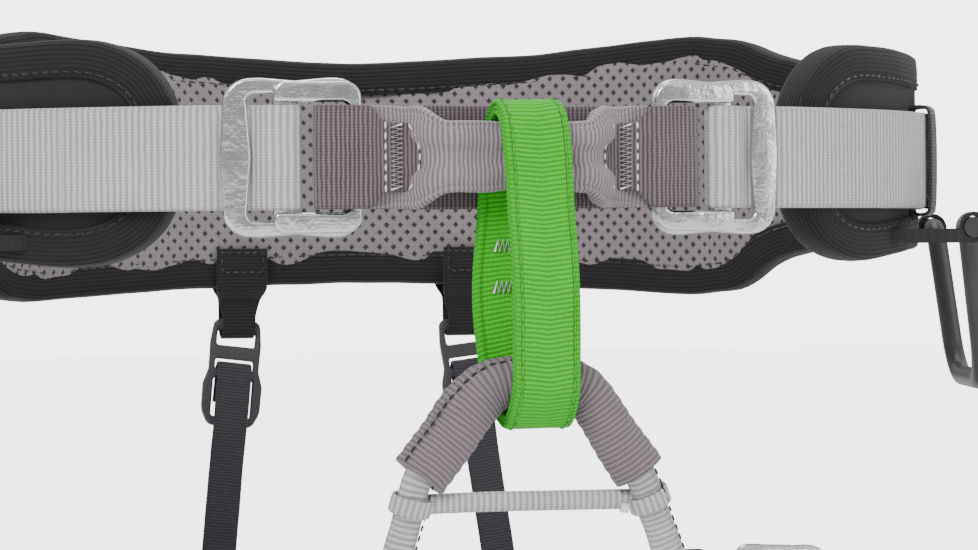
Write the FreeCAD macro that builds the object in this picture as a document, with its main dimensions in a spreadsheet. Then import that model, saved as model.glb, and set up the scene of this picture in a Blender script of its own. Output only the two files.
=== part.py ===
"""A sit harness for climbing and tree work: a padded waist belt closed by two double-back buckles, a tie-in
bridge with its belay loop, and two padded leg loops hung from a sleeved bridge and two elastic rear risers.

Frame: millimetres, +Z up, the wearer faces -Y, +X is on the viewer's right when the harness is seen from the
front. The origin is the middle of the waist opening, at the middle height of the waist webbing.
"""
import FreeCAD, Part
import math
import os

import Sketcher

Vector = FreeCAD.Vector
doc = FreeCAD.newDocument("Harness")

# ---------------------------------------------------------------- driving dimensions
SIZES = [
    # the waist opening and the layers of the waist pad, from the body outwards
    ("waist_half_width", 150), ("waist_half_depth", 95),
    ("lining_thick", 1.6), ("foam_thick", 8), ("shell_thick", 1.2),
    ("binding_thick", 0.8), ("binding_width", 11),
    # the waist pad's outline: heights of its top and bottom edge, from back to front
    ("back_top", 36.5), ("back_bottom", -38), ("wing_top", 45), ("wing_bottom", -43),
    ("side_top", 34), ("side_bottom", -28), ("lobe_top", 35), ("lobe_bottom", -31),
    ("lobe_gap", 184), ("lobe_corner", 26),
    # webbing
    ("belt_webbing_width", 30), ("webbing_thick", 2), ("layer_gap", 0.25),
    # waist buckles: hinge axis in plan, turn of the buckle, and its two frames
    ("buckle_reach", 45.5), ("buckle_front", 102), ("buckle_yaw", 6),
    ("plate_thick", 2.2), ("end_bar", 4), ("frame_play", 0.7), ("rail_height", 7),
    ("outer_frame_length", 40.5), ("logo_bar_width", 9), ("grip_bar_width", 6),
    ("grip_bar_near", 17.5), ("split_reach", 31.5), ("split_gap", 1),
    # tie-in bridge and belay loop
    ("bridge_fold_height", 19), ("bridge_fold_thick", 5.5), ("bridge_fold_front", 111.6),
    ("bridge_stitch_half", 33.5), ("loop_width", 21), ("loop_thick", 4.5), ("loop_centre_side", 5),
    ("loop_pivot_height", 5), ("loop_top", 14), ("loop_bottom", -79),
    # leg bridge
    ("sleeve_radius", 7.2), ("sleeve_wall", 1.3), ("leg_strap_radius", 5.0),
    ("left_apex_side", 38), ("right_apex_side", 54), ("sleeve_top", -63.5),
    ("cross_strap_radius", 3), ("cross_strap_height", -99),
    # leg loops
    ("leg_spacing", 196), ("leg_back", 8), ("leg_drop", 170), ("leg_tilt", 24), ("thigh_radius", 82),
    ("leg_foam_thick", 6), ("leg_lining_thick", 1.5), ("leg_shell_thick", 1),
    ("leg_pad_height", 62), ("leg_pad_end_height", 40), ("leg_pad_half_angle", 88),
    ("leg_webbing_width", 20), ("leg_webbing_thick", 1.8),
    # rear risers and their hook buckles
    ("riser_side", 39), ("riser_pivot_back", 97), ("riser_pivot_height", -52),
    ("anchor_angle", 29), ("anchor_height", 38),
    ("riser_width", 12), ("riser_thick", 1.2), ("hook_width", 20), ("hook_thick", 3),
    # gear loops
    ("gear_tube_radius", 3.2), ("gear_half_width", 34.5), ("gear_drop", 48), ("gear_height", -21),
    ("gear_angle", 99),
    ("tunnel_wall", 1.6), ("tunnel_play", 0.3),
    # thread
    ("thread", 0.7),
]
sheet = doc.addObject("Spreadsheet::Sheet", "Dimensions")
for row, (name, value) in enumerate(SIZES, start=1):
    sheet.set(f"A{row}", name)
    sheet.set(f"B{row}", str(value))
    sheet.setAlias(f"B{row}", name)
doc.recompute()


class Sizes:
    """Reads a driving dimension from the sheet by its alias."""

    def __getattr__(self, name):
        return float(sheet.get(name))


S = Sizes()
parts = []


# ---------------------------------------------------------------- helpers
def keep(shape, label, placement=None):
    """Adds a finished shape to the document as a sub-part."""
    feature = doc.addObject("Part::Feature", label)
    feature.Shape = shape
    feature.Label = label
    if placement is not None:
        feature.Placement = placement
    parts.append(feature)
    return feature


def spline(points, closed=False):
    """A smooth edge through 2D points, in the XY plane."""
    curve = Part.BSplineCurve()
    curve.interpolate([Vector(x, y, 0) for x, y in points], PeriodicFlag=closed)
    return curve.toShape()


def beside(points, offset, closed=False):
    """Points a fixed distance to the left of a path."""
    moved = []
    last = len(points) - 1
    for i, (x, y) in enumerate(points):
        before = points[i - 1] if closed or i > 0 else points[0]
        after = points[(i + 1) % len(points)] if closed or i < last else points[last]
        dx, dy = after[0] - before[0], after[1] - before[1]
        run = math.hypot(dx, dy)
        moved.append((x - dy / run * offset, y + dx / run * offset))
    return moved


def ribbon(path, thick, low, high):
    """A strap: an open path in the XY plane made thick to both sides and drawn up from low to high."""
    left, right = beside(path, thick / 2), beside(path, -thick / 2)
    start = Part.LineSegment(Vector(*left[0], 0), Vector(*right[0], 0)).toShape()
    end = Part.LineSegment(Vector(*left[-1], 0), Vector(*right[-1], 0)).toShape()
    wire = Part.Wire(Part.__sortEdges__([spline(left), end, spline(right), start]))
    face = Part.Face(wire)
    face.translate(Vector(0, 0, low))
    return face.extrude(Vector(0, 0, high - low))


def smooth(points, per_span=6, closed=False):
    """Evenly divided points of the smooth curve through a few guide points."""
    edge = spline(points, closed)
    count = per_span * (len(points) - (0 if closed else 1))
    found = edge.discretize(Number=count + 1)
    return [(p.x, p.y) for p in (found[:-1] if closed else found)]


def ease(start, end, count=7):
    """Points of a soft S-bend between two points: level at both ends."""
    steps = [i / (count - 1) for i in range(count)]
    return [(start[0] + (end[0] - start[0]) * t,
             start[1] + (end[1] - start[1]) * (1 - math.cos(math.pi * t)) / 2) for t in steps]


def ellipse_point(half_width, half_depth, angle):
    """A point of an ellipse at an angle in degrees from the centre back, positive towards +X."""
    a = math.radians(angle)
    return half_width * math.sin(a), half_depth * math.cos(a)


def elliptic_ring(inner, outer, low, high):
    """The space between two ellipses, each (half width, half depth), from low to high."""
    solids = []
    for wide, deep in (outer, inner):
        curve = Part.Ellipse(Vector(0, 0, low), max(wide, deep), min(wide, deep))
        edge = curve.toShape()
        if deep > wide:
            edge.rotate(Vector(0, 0, low), Vector(0, 0, 1), 90)
        solids.append(Part.Face(Part.Wire(edge)).extrude(Vector(0, 0, high - low)))
    return solids[0].cut(solids[1])


def box(x0, x1, y0, y1, z0, z1):
    return Part.makeBox(x1 - x0, y1 - y0, z1 - z0, Vector(x0, y0, z0))


def pipe(points, radius, bends):
    """A round rod along straight runs, with a bend radius for each corner."""
    edges = []
    at = Vector(*points[0])
    for i in range(1, len(points) - 1):
        corner = Vector(*points[i])
        back, on = Vector(*points[i - 1]) - corner, Vector(*points[i + 1]) - corner
        half = back.getAngle(on) / 2
        bend = bends[i - 1]
        cut = bend / math.tan(half)
        back.normalize()
        on.normalize()
        first, last = corner + back * cut, corner + on * cut
        middle_way = back + on
        middle_way.normalize()
        middle = corner + middle_way * (bend / math.sin(half) - bend)
        edges.append(Part.LineSegment(at, first).toShape())
        edges.append(Part.Arc(first, middle, last).toShape())
        at = last
    edges.append(Part.LineSegment(at, Vector(*points[-1])).toShape())
    path = Part.Wire(edges)
    away = edges[0].Curve.Direction
    ring = Part.Wire(Part.Circle(Vector(*points[0]), away, radius).toShape())
    return path.makePipeShell([ring], True, True)


def turned_about_z(angle, at):
    return FreeCAD.Placement(Vector(*at), FreeCAD.Rotation(Vector(0, 0, 1), angle))


# ---------------------------------------------------------------- waist pad
LINING_OUT = S.lining_thick
FOAM_OUT = LINING_OUT + S.foam_thick
SHELL_OUT = FOAM_OUT + S.shell_thick
PAD_OUT = SHELL_OUT + S.binding_thick
HALF_WEBBING = S.belt_webbing_width / 2
TALL = 80


def waist_ellipse(offset):
    return S.waist_half_width + offset, S.waist_half_depth + offset


def waist_outline(inset):
    """The waist pad's outline drawn in to a solid: a back half and a front half with its two lobes."""
    reach = S.waist_half_width + PAD_OUT + 4
    side_at = 0.97 * S.waist_half_width
    wing_at, flank_at = 0.76 * S.waist_half_width, 0.44 * S.waist_half_width
    flank_top = (2 * S.back_top + S.wing_top) / 3 + 0.3
    flank_bottom = (2 * S.back_bottom + S.wing_bottom) / 3

    def edge(centre, flank, wing, side, sign):
        at = [(0, centre), (flank_at, flank), (wing_at, wing), (wing_at + 14, wing - sign * 2.2),
              (side_at - 9, side + sign * 3.6), (side_at - 1, side + sign * 0.6), (side_at + 4, side)]
        points = [(-x, z - sign * inset) for x, z in reversed(at[1:])]
        points += [(x, z - sign * inset) for x, z in at]
        curve = Part.BSplineCurve()
        curve.interpolate([Vector(x, 0, z) for x, z in points])
        ends = [Vector(-reach, 0, points[0][1]), Vector(points[0][0], 0, points[0][1]),
                Vector(points[-1][0], 0, points[-1][1]), Vector(reach, 0, points[-1][1])]
        return [Part.LineSegment(ends[0], ends[1]).toShape(), curve.toShape(),
                Part.LineSegment(ends[2], ends[3]).toShape()]

    top = edge(S.back_top, flank_top, S.wing_top, S.side_top, 1)
    bottom = edge(S.back_bottom, flank_bottom, S.wing_bottom, S.side_bottom, -1)
    sides = [Part.LineSegment(Vector(x, 0, S.side_bottom + inset), Vector(x, 0, S.side_top - inset)).toShape()
             for x in (-reach, reach)]
    wire = Part.Wire(Part.__sortEdges__(top + bottom + sides))
    back = Part.Face(wire).extrude(Vector(0, S.waist_half_depth + PAD_OUT + 5, 0))

    end_x = S.lobe_gap / 2 + inset
    lobe_x = end_x + S.lobe_corner + 6
    solids = [back]
    for side in (-1, 1):
        outline = [(reach, S.side_bottom + inset), (side_at, S.side_bottom + inset),
                   (lobe_x, S.lobe_bottom + inset), (end_x, S.lobe_bottom + inset),
                   (end_x, S.lobe_top - inset), (lobe_x, S.lobe_top - inset),
                   (side_at, S.side_top - inset), (reach, S.side_top - inset)]
        loop = [Vector(side * x, 0, z) for x, z in outline + outline[:1]]
        front = Part.Face(Part.makePolygon(loop)).extrude(Vector(0, -S.waist_half_depth - PAD_OUT - 5, 0))
        corners = [e for e in front.Edges
                   if all(abs(abs(v.Point.x) - end_x) < 0.01 for v in e.Vertexes)
                   and abs(e.Vertexes[0].Point.z - e.Vertexes[1].Point.z) < 0.01]
        solids.append(front.makeFillet(S.lobe_corner - inset, corners))
    return solids


def waist_layer(inner, outer, inset):
    """One layer of the waist pad, between two distances from the body and in from the pad's outline."""
    ring = elliptic_ring(waist_ellipse(inner), waist_ellipse(outer), -TALL, TALL)
    pieces = [ring.common(solid) for solid in waist_outline(inset)]
    return pieces[0].fuse(pieces[1:]).removeSplitter()


keep(waist_layer(0, LINING_OUT, S.binding_thick), "waist_lining")
keep(waist_layer(LINING_OUT, FOAM_OUT, S.binding_thick), "waist_foam")
keep(waist_layer(FOAM_OUT, SHELL_OUT, S.binding_thick), "waist_shell")
tape = waist_layer(-S.binding_thick, PAD_OUT, 0)
tape = tape.cut(waist_layer(0, SHELL_OUT, S.binding_thick))
tape = tape.cut(waist_layer(-S.binding_thick - 1, PAD_OUT + 1, S.binding_width))
keep(tape, "waist_binding")


# ---------------------------------------------------------------- buckles
class Buckle:
    """A double-back buckle in plan. u runs from the hinge axis towards the padded side, n faces outwards."""

    def __init__(self, at, along, outwards, webbing_width, webbing_thick, ratio):
        self.at, self.along, self.outwards = at, along, outwards
        self.width, self.thick, self.ratio = webbing_width, webbing_thick, ratio

    def place(self, u, n):
        return (self.at[0] + self.along[0] * u + self.outwards[0] * n,
                self.at[1] + self.along[1] * u + self.outwards[1] * n)

    @property
    def tail_n(self):
        """Middle of the tail, which runs under the logo bar."""
        return -S.plate_thick - S.layer_gap - self.thick / 2

    @property
    def strand_n(self):
        """Middle of the main strand, which runs under the tail."""
        return self.tail_n - self.thick - S.layer_gap

    def wrap_path(self):
        """The webbing turned round the grip bar, from the main strand to the tail."""
        k = self.ratio
        split = S.split_reach * k - S.split_gap
        near, far = S.grip_bar_near * k, (S.grip_bar_near + S.grip_bar_width) * k
        middle = -S.plate_thick / 2
        radius = S.plate_thick / 2 + S.layer_gap + self.thick / 2
        turn = near + S.plate_thick / 2
        logo_bar_near = S.outer_frame_length * k - S.end_bar / 2 - S.logo_bar_width * k
        under = [(split, self.strand_n)]
        under += ease((split - 1.3, self.strand_n), (far - 2, middle - radius))
        bend = [(turn - radius * math.sin(math.radians(a)), middle - radius * math.cos(math.radians(a)))
                for a in range(0, 181, 30)]
        over = ease((far - 0.8, middle + radius), (logo_bar_near + 0.2, self.tail_n))
        over += [(split, self.tail_n)]
        return [self.place(u, n) for u, n in smooth(under + bend + over, 4)]

    @property
    def half_loop(self):
        return math.hypot(S.end_bar / 2, S.plate_thick + 0.1) + 0.35 + self.thick / 2

    def placement(self):
        """The frame's local X is u and its local Y points inwards, against n; the frame is the same upside down."""
        across, inwards = Vector(*self.along, 0), Vector(*self.outwards, 0) * -1
        turn = FreeCAD.Rotation(across, inwards, across.cross(inwards), "XYZ")
        return FreeCAD.Placement(Vector(self.at[0], self.at[1], 0), turn)


def slab(body, kind, name, u, half, n, depth):
    """A rectangle u[0]..u[1] wide and half up and down, padded or pocketed about the level n."""
    sketch = body.newObject("Sketcher::SketchObject", name + "_outline")
    plane = [f for f in body.Origin.OriginFeatures if f.Role == "XZ_Plane"][0]
    sketch.AttachmentSupport = [(plane, "")]
    sketch.MapMode = "FlatFace"
    sketch.AttachmentOffset = FreeCAD.Placement(Vector(0, 0, n), FreeCAD.Rotation())
    corners = [(u[0], -half), (u[1], -half), (u[1], half), (u[0], half)]
    for i in range(4):
        a, b = corners[i], corners[(i + 1) % 4]
        sketch.addGeometry(Part.LineSegment(Vector(*a, 0), Vector(*b, 0)), False)
    for i in range(4):
        sketch.addConstraint(Sketcher.Constraint("Coincident", i, 2, (i + 1) % 4, 1))
    feature = body.newObject(kind, name)
    feature.Profile = sketch
    feature.Midplane = True
    feature.setExpression("Length", depth)
    doc.recompute()
    body.Tip = feature
    return feature


def round_corners(body, label, u, half, radius):
    """Rounds the upright corners at the far ends of a frame."""
    blank = body.Tip
    corners = []
    for i, e in enumerate(blank.Shape.Edges):
        ends = [v.Point for v in e.Vertexes]
        if len(ends) == 2 and abs(ends[0].y - ends[1].y) > 1 and abs(ends[0].x - ends[1].x) < 0.01:
            if abs(abs(ends[0].z) - half) < 0.01 and min(abs(ends[0].x - x) for x in u) < 0.01:
                corners.append(f"Edge{i + 1}")
    fillet = body.newObject("PartDesign::Fillet", label + "_corners")
    fillet.Base = (blank, corners)
    fillet.Radius = radius
    doc.recompute()
    body.Tip = fillet


def new_body(label):
    body = doc.addObject("PartDesign::Body", label)
    body.Label = label
    parts.append(body)
    return body


def add_buckle(prefix, buckle, body_turn=None):
    """The two frames and the wrap of webbing that tilt together."""
    k = buckle.ratio
    half_window = buckle.width / 2 + S.frame_play
    half_frame = half_window + S.rail_height * k
    cheek = 1.8
    placement = buckle.placement()
    if body_turn is not None:
        placement = body_turn.multiply(placement)
    end = S.end_bar / 2
    far_end = S.outer_frame_length * k - end
    logo_near = far_end - S.logo_bar_width * k

    outer = new_body(prefix + "_outer_frame")
    middle = -S.plate_thick / 2
    slab(outer, "PartDesign::Pad", prefix + "_outer_plate", (-end, far_end), half_frame, middle,
         "Dimensions.plate_thick")
    slab(outer, "PartDesign::Pocket", prefix + "_outer_window", (end, logo_near), half_window + cheek + 0.5,
         middle, "Dimensions.plate_thick * 2")
    round_corners(outer, prefix + "_outer", (-end, far_end), half_frame, 8 * k)
    outer.Placement = placement

    inner = new_body(prefix + "_inner_frame")
    near, far = S.grip_bar_near * k, (S.grip_bar_near + S.grip_bar_width) * k
    front = 0.1 + S.plate_thick / 2
    slab(inner, "PartDesign::Pad", prefix + "_inner_plate", (-end + 0.2, far), half_frame - 1, front,
         "Dimensions.plate_thick")
    slab(inner, "PartDesign::Pad", prefix + "_grip_bar", (near, far), half_window + cheek,
         middle + 0.05, "Dimensions.plate_thick + 0.1")
    slab(inner, "PartDesign::Pocket", prefix + "_strap_room", (end - 0.2, far + 1), half_window,
         front, "Dimensions.plate_thick + 0.01")
    round_corners(inner, prefix + "_inner", (-end + 0.2, far), half_frame - 1, 5 * k)
    inner.Placement = placement

    wrap = ribbon(buckle.wrap_path(), buckle.thick, -buckle.width / 2, buckle.width / 2)
    keep(wrap, prefix + "_webbing_wrap", body_turn)


def waist_buckle(side):
    yaw = math.radians(S.buckle_yaw)
    return Buckle((side * S.buckle_reach, -S.buckle_front),
                  (side * math.cos(yaw), math.sin(yaw)), (side * math.sin(yaw), -math.cos(yaw)),
                  S.belt_webbing_width, S.webbing_thick, 1.0)


waist_buckles = {"left": waist_buckle(-1), "right": waist_buckle(1)}
for name, buckle in waist_buckles.items():
    add_buckle(name + "_waist", buckle)

# ---------------------------------------------------------------- waist webbing
STRAND = PAD_OUT + S.layer_gap + S.webbing_thick / 2
TAIL = STRAND + S.webbing_thick + S.layer_gap
LEAVES_PAD = 180 - math.degrees(math.asin((S.lobe_gap / 2 + 6.4) / S.waist_half_width))


def belt_side(buckle, side, offset, first, n):
    """One side's webbing from an angle round the pad to the split beside its buckle."""
    wide, deep = waist_ellipse(offset)
    steps = round((LEAVES_PAD - first) / 4)
    round_pad = [ellipse_point(wide, deep, side * (first + (LEAVES_PAD - first) * i / steps)) for i in range(steps + 1)]
    front = [buckle.place(S.split_reach + 12, n - 0.6), buckle.place(S.split_reach + 4, n),
             buckle.place(S.split_reach, n)]
    return round_pad + front


right = belt_side(waist_buckles["right"], 1, STRAND, 3, waist_buckles["right"].strand_n)
left = belt_side(waist_buckles["left"], -1, STRAND, 3, waist_buckles["left"].strand_n)
keep(ribbon(smooth(list(reversed(left)) + right, 2), S.webbing_thick, -HALF_WEBBING, HALF_WEBBING), "waist_webbing")
TAIL_ENDS_AT = 99
for name, side in (("left", -1), ("right", 1)):
    tail = belt_side(waist_buckles[name], side, TAIL, TAIL_ENDS_AT, waist_buckles[name].tail_n)
    keep(ribbon(smooth(tail, 2), S.webbing_thick, -HALF_WEBBING, HALF_WEBBING), name + "_webbing_tail")


def band(label, at_angle, side):
    """An elastic keeper round the webbing and its tail."""
    wide, deep = waist_ellipse((STRAND + TAIL) / 2)
    x, y = ellipse_point(wide, deep, side * at_angle)
    x2, y2 = ellipse_point(wide, deep, side * (at_angle + 1))
    heading = math.degrees(math.atan2(y2 - y, x2 - x))
    outer = doc.addObject("Part::Box", label + "_outside")
    outer.setExpression("Height", "Dimensions.belt_webbing_width + 4 * Dimensions.layer_gap + 2.4")
    outer.Length = 10
    outer.setExpression("Width", "2 * Dimensions.webbing_thick + 5 * Dimensions.layer_gap + 2.0")
    inner = doc.addObject("Part::Box", label + "_inside")
    inner.setExpression("Height", "Dimensions.belt_webbing_width + 4 * Dimensions.layer_gap")
    inner.Length = 12
    inner.setExpression("Width", "2 * Dimensions.webbing_thick + 4 * Dimensions.layer_gap")
    doc.recompute()
    for piece in (outer, inner):
        piece.Placement = FreeCAD.Placement(
            Vector(-piece.Length.Value / 2, -piece.Width.Value / 2, -piece.Height.Value / 2), FreeCAD.Rotation())
    ring = doc.addObject("Part::Cut", label)
    ring.Base, ring.Tool = outer, inner
    ring.Label = label
    ring.Placement = turned_about_z(heading, (x, y, 0))
    parts.append(ring)


band("left_tail_keeper", 112, -1)
band("right_tail_keeper", 112, 1)

# ---------------------------------------------------------------- tie-in webbing
half_loop = waist_buckles["left"].half_loop
BACK_LAYER = -(S.buckle_front - half_loop) + 0.1
FRONT_LAYER = BACK_LAYER - S.webbing_thick - S.layer_gap


def tie_in_end(name):
    """From the front layer's inner end, round the end bars, to the back layer."""
    buckle = waist_buckles[name]
    side = 1 if name == "right" else -1
    reach = 6.7
    inner = [(side * x, FRONT_LAYER) for x in (25, 28)]
    inner += ease((side * 31, FRONT_LAYER), buckle.place(-2.5, half_loop))
    front = [buckle.place(u, half_loop) for u in (0, 4)]
    bend = [buckle.place(reach + half_loop * math.sin(math.radians(a)), half_loop * math.cos(math.radians(a)))
            for a in (0, 30, 60, 90, 120, 150, 180)]
    back = [buckle.place(u, -half_loop) for u in (4, 1)]
    back += [(side * x, BACK_LAYER) for x in (40, 36, 32, 28)]
    return inner + front + bend + back


backing = tie_in_end("left") + [(-20, BACK_LAYER), (0, BACK_LAYER), (20, BACK_LAYER)]
backing = backing + list(reversed(tie_in_end("right")))
keep(ribbon(smooth(backing, 4), S.webbing_thick, -HALF_WEBBING, HALF_WEBBING), "tie_in_backing")

fold_start = FRONT_LAYER - S.webbing_thick / 2 - S.layer_gap - S.bridge_fold_thick / 2
fold_half = [(19, -S.bridge_fold_front), (26, -S.bridge_fold_front + 3.0),
             (S.bridge_stitch_half - 4, fold_start), (S.bridge_stitch_half, fold_start - 0.8)]
fold = [(-x, y) for x, y in reversed(fold_half)] + [(-8, -S.bridge_fold_front), (8, -S.bridge_fold_front)] + fold_half
keep(ribbon(smooth(fold, 4), S.bridge_fold_thick, -S.bridge_fold_height / 2, S.bridge_fold_height / 2),
     "tie_in_bridge")

TACK_AT = 29
tacks = [box(side * TACK_AT - 1.5, side * TACK_AT + 1.5, fold_start - S.bridge_fold_thick / 2 - S.thread,
             fold_start - S.bridge_fold_thick / 2 - 0.05, -7.5, 7.5) for side in (-1, 1)]
keep(Part.makeCompound(tacks), "tie_in_bar_tacks")

# ---------------------------------------------------------------- belay loop
LOOP_Y = -S.bridge_fold_front
LOOP_HALF = [(0, S.loop_top), (5.2, S.loop_top - 3.0), (7.6, 2), (9.2, -14), (12.6, -35), (13.0, -55),
             (11.6, -69.3)]


def belay_path(sign):
    return [(sign * across, height) for across, height in LOOP_HALF]


loop_path = belay_path(-1) + [(0, S.loop_bottom)] + list(reversed(belay_path(1)[1:]))
loop_path = smooth(loop_path, 6, closed=True)
outer_edge = spline(beside(loop_path, -S.loop_thick / 2, True), True)
inner_edge = spline(beside(loop_path, S.loop_thick / 2, True), True)
faces = sorted((Part.Face(Part.Wire(e)) for e in (outer_edge, inner_edge)), key=lambda f: f.Area)
loop_solid = faces[1].cut(faces[0]).extrude(Vector(0, 0, S.loop_width))
# the drawing plane's X becomes depth and its Y becomes height
upright = FreeCAD.Placement(Vector(S.loop_centre_side - S.loop_width / 2, LOOP_Y, 0),
                            FreeCAD.Rotation(Vector(0, 1, 0), Vector(0, 0, 1), Vector(1, 0, 0), "ZXY"))
keep(loop_solid, "belay_loop", upright)
tack_left = S.loop_centre_side - S.loop_width / 2 + 4.5
tacks = [box(tack_left, tack_left + 12, LOOP_Y + 12.6 - S.loop_thick / 2 - S.thread,
             LOOP_Y + 12.6 - S.loop_thick / 2 - 0.05, z - 1.5, z + 1.5) for z in (-31, -41)]
keep(Part.makeCompound(tacks), "belay_loop_bar_tacks")

# ---------------------------------------------------------------- leg bridge
LEG_TILT = math.radians(S.leg_tilt)
APEX_FRONT = 98
HINGE_AT = 17
APEX_HEIGHT = -S.leg_drop + (APEX_FRONT - S.leg_back) * math.tan(LEG_TILT)
sleeve_ends = [(-30, LOOP_Y, -91), (35.5, LOOP_Y, -91)]
arch = [sleeve_ends[0], (-9, LOOP_Y, S.sleeve_top), (17, LOOP_Y, S.sleeve_top), sleeve_ends[1]]
feet = [(-S.left_apex_side, -APEX_FRONT, APEX_HEIGHT), (S.right_apex_side, -APEX_FRONT, APEX_HEIGHT)]
sleeve_core = pipe(arch, S.leg_strap_radius, (19, 19))
sleeve = pipe(arch, S.sleeve_radius, (19, 19)).cut(pipe(arch, S.sleeve_radius - S.sleeve_wall, (19, 19)))
keep(sleeve, "bridge_sleeve")
straps = []
for end, foot in zip(sleeve_ends, feet):
    low, top = Vector(*foot), Vector(*end)
    straps.append(Part.makeCylinder(S.leg_strap_radius, (low - top).Length, top, low - top))
    straps.append(Part.makeSphere(S.leg_strap_radius, top))
core = sleeve_core.fuse(straps).removeSplitter()
keep(core, "bridge_webbing")
fall = (sleeve_ends[0][2] - S.cross_strap_height) / (sleeve_ends[0][2] - APEX_HEIGHT)
left_at, right_at = (end[0] + (foot[0] - end[0]) * fall for end, foot in zip(sleeve_ends, feet))
cross_length = right_at - left_at - 2 * (S.leg_strap_radius + 1.1)
cross = Part.makeCylinder(S.cross_strap_radius, cross_length,
                          Vector(left_at + S.leg_strap_radius + 1.1, LOOP_Y + 3.2, S.cross_strap_height),
                          Vector(1, 0, 0))
rings = []
for top, foot in zip(sleeve_ends, feet):
    start = Vector(*top)
    way = Vector(*foot) - start
    way.normalize()
    begin = start + way * ((start.z - S.cross_strap_height) / -way.z - 3.5)
    rings.append(Part.makeCylinder(S.leg_strap_radius + 2.2, 7, begin, way).cut(
        Part.makeCylinder(S.leg_strap_radius + 0.3, 7, begin, way)))
cross = cross.fuse(rings).removeSplitter()
keep(cross, "bridge_cross_strap")

# ---------------------------------------------------------------- leg loops
LEG_LINING_OUT = S.thigh_radius + S.leg_lining_thick
LEG_FOAM_OUT = LEG_LINING_OUT + S.leg_foam_thick
LEG_SHELL_OUT = LEG_FOAM_OUT + S.leg_shell_thick
LEG_PAD_OUT = LEG_SHELL_OUT + S.binding_thick
LEG_STRAND = LEG_PAD_OUT + S.layer_gap + S.leg_webbing_thick / 2
PAD_CENTRE = 100


def leg_placement(side):
    turn = FreeCAD.Rotation(Vector(1, 0, 0), -S.leg_tilt)
    return FreeCAD.Placement(Vector(side * S.leg_spacing / 2, -S.leg_back, -S.leg_drop), turn)


def leg_layer(inner, outer, inset):
    """A layer of the leg pad: an arc of a tube, tallest at the back."""
    low_end, high = S.leg_pad_end_height / 2 - inset, S.leg_pad_height / 2 - inset
    reach = LEG_PAD_OUT + 5
    edge_x = reach * math.sin(math.radians(S.leg_pad_half_angle))
    tube = Part.makeCylinder(outer, 2 * TALL, Vector(0, 0, -TALL)).cut(
        Part.makeCylinder(inner, 2 * TALL, Vector(0, 0, -TALL)))
    top = Part.Arc(Vector(-edge_x, 0, low_end), Vector(0, 0, high), Vector(edge_x, 0, low_end)).toShape()
    bottom = Part.Arc(Vector(-edge_x, 0, -low_end), Vector(0, 0, -high), Vector(edge_x, 0, -low_end)).toShape()
    ends = [Part.LineSegment(Vector(x, 0, -low_end), Vector(x, 0, low_end)).toShape() for x in (-edge_x, edge_x)]
    wire = Part.Wire(Part.__sortEdges__([top, bottom] + ends))
    start = outer * math.cos(math.radians(S.leg_pad_half_angle)) + inset
    outline = Part.Face(wire).extrude(Vector(0, reach, 0)).cut(box(-reach, reach, -reach, start, -TALL, TALL))
    return tube.common(outline)


def mirror_x(points, side):
    """Paths are drawn for the right leg; the left leg's are the mirror image."""
    return [(side * x, y) for x, y in points]


def on_circle(radius, angle):
    return radius * math.cos(math.radians(angle)), radius * math.sin(math.radians(angle))


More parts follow.
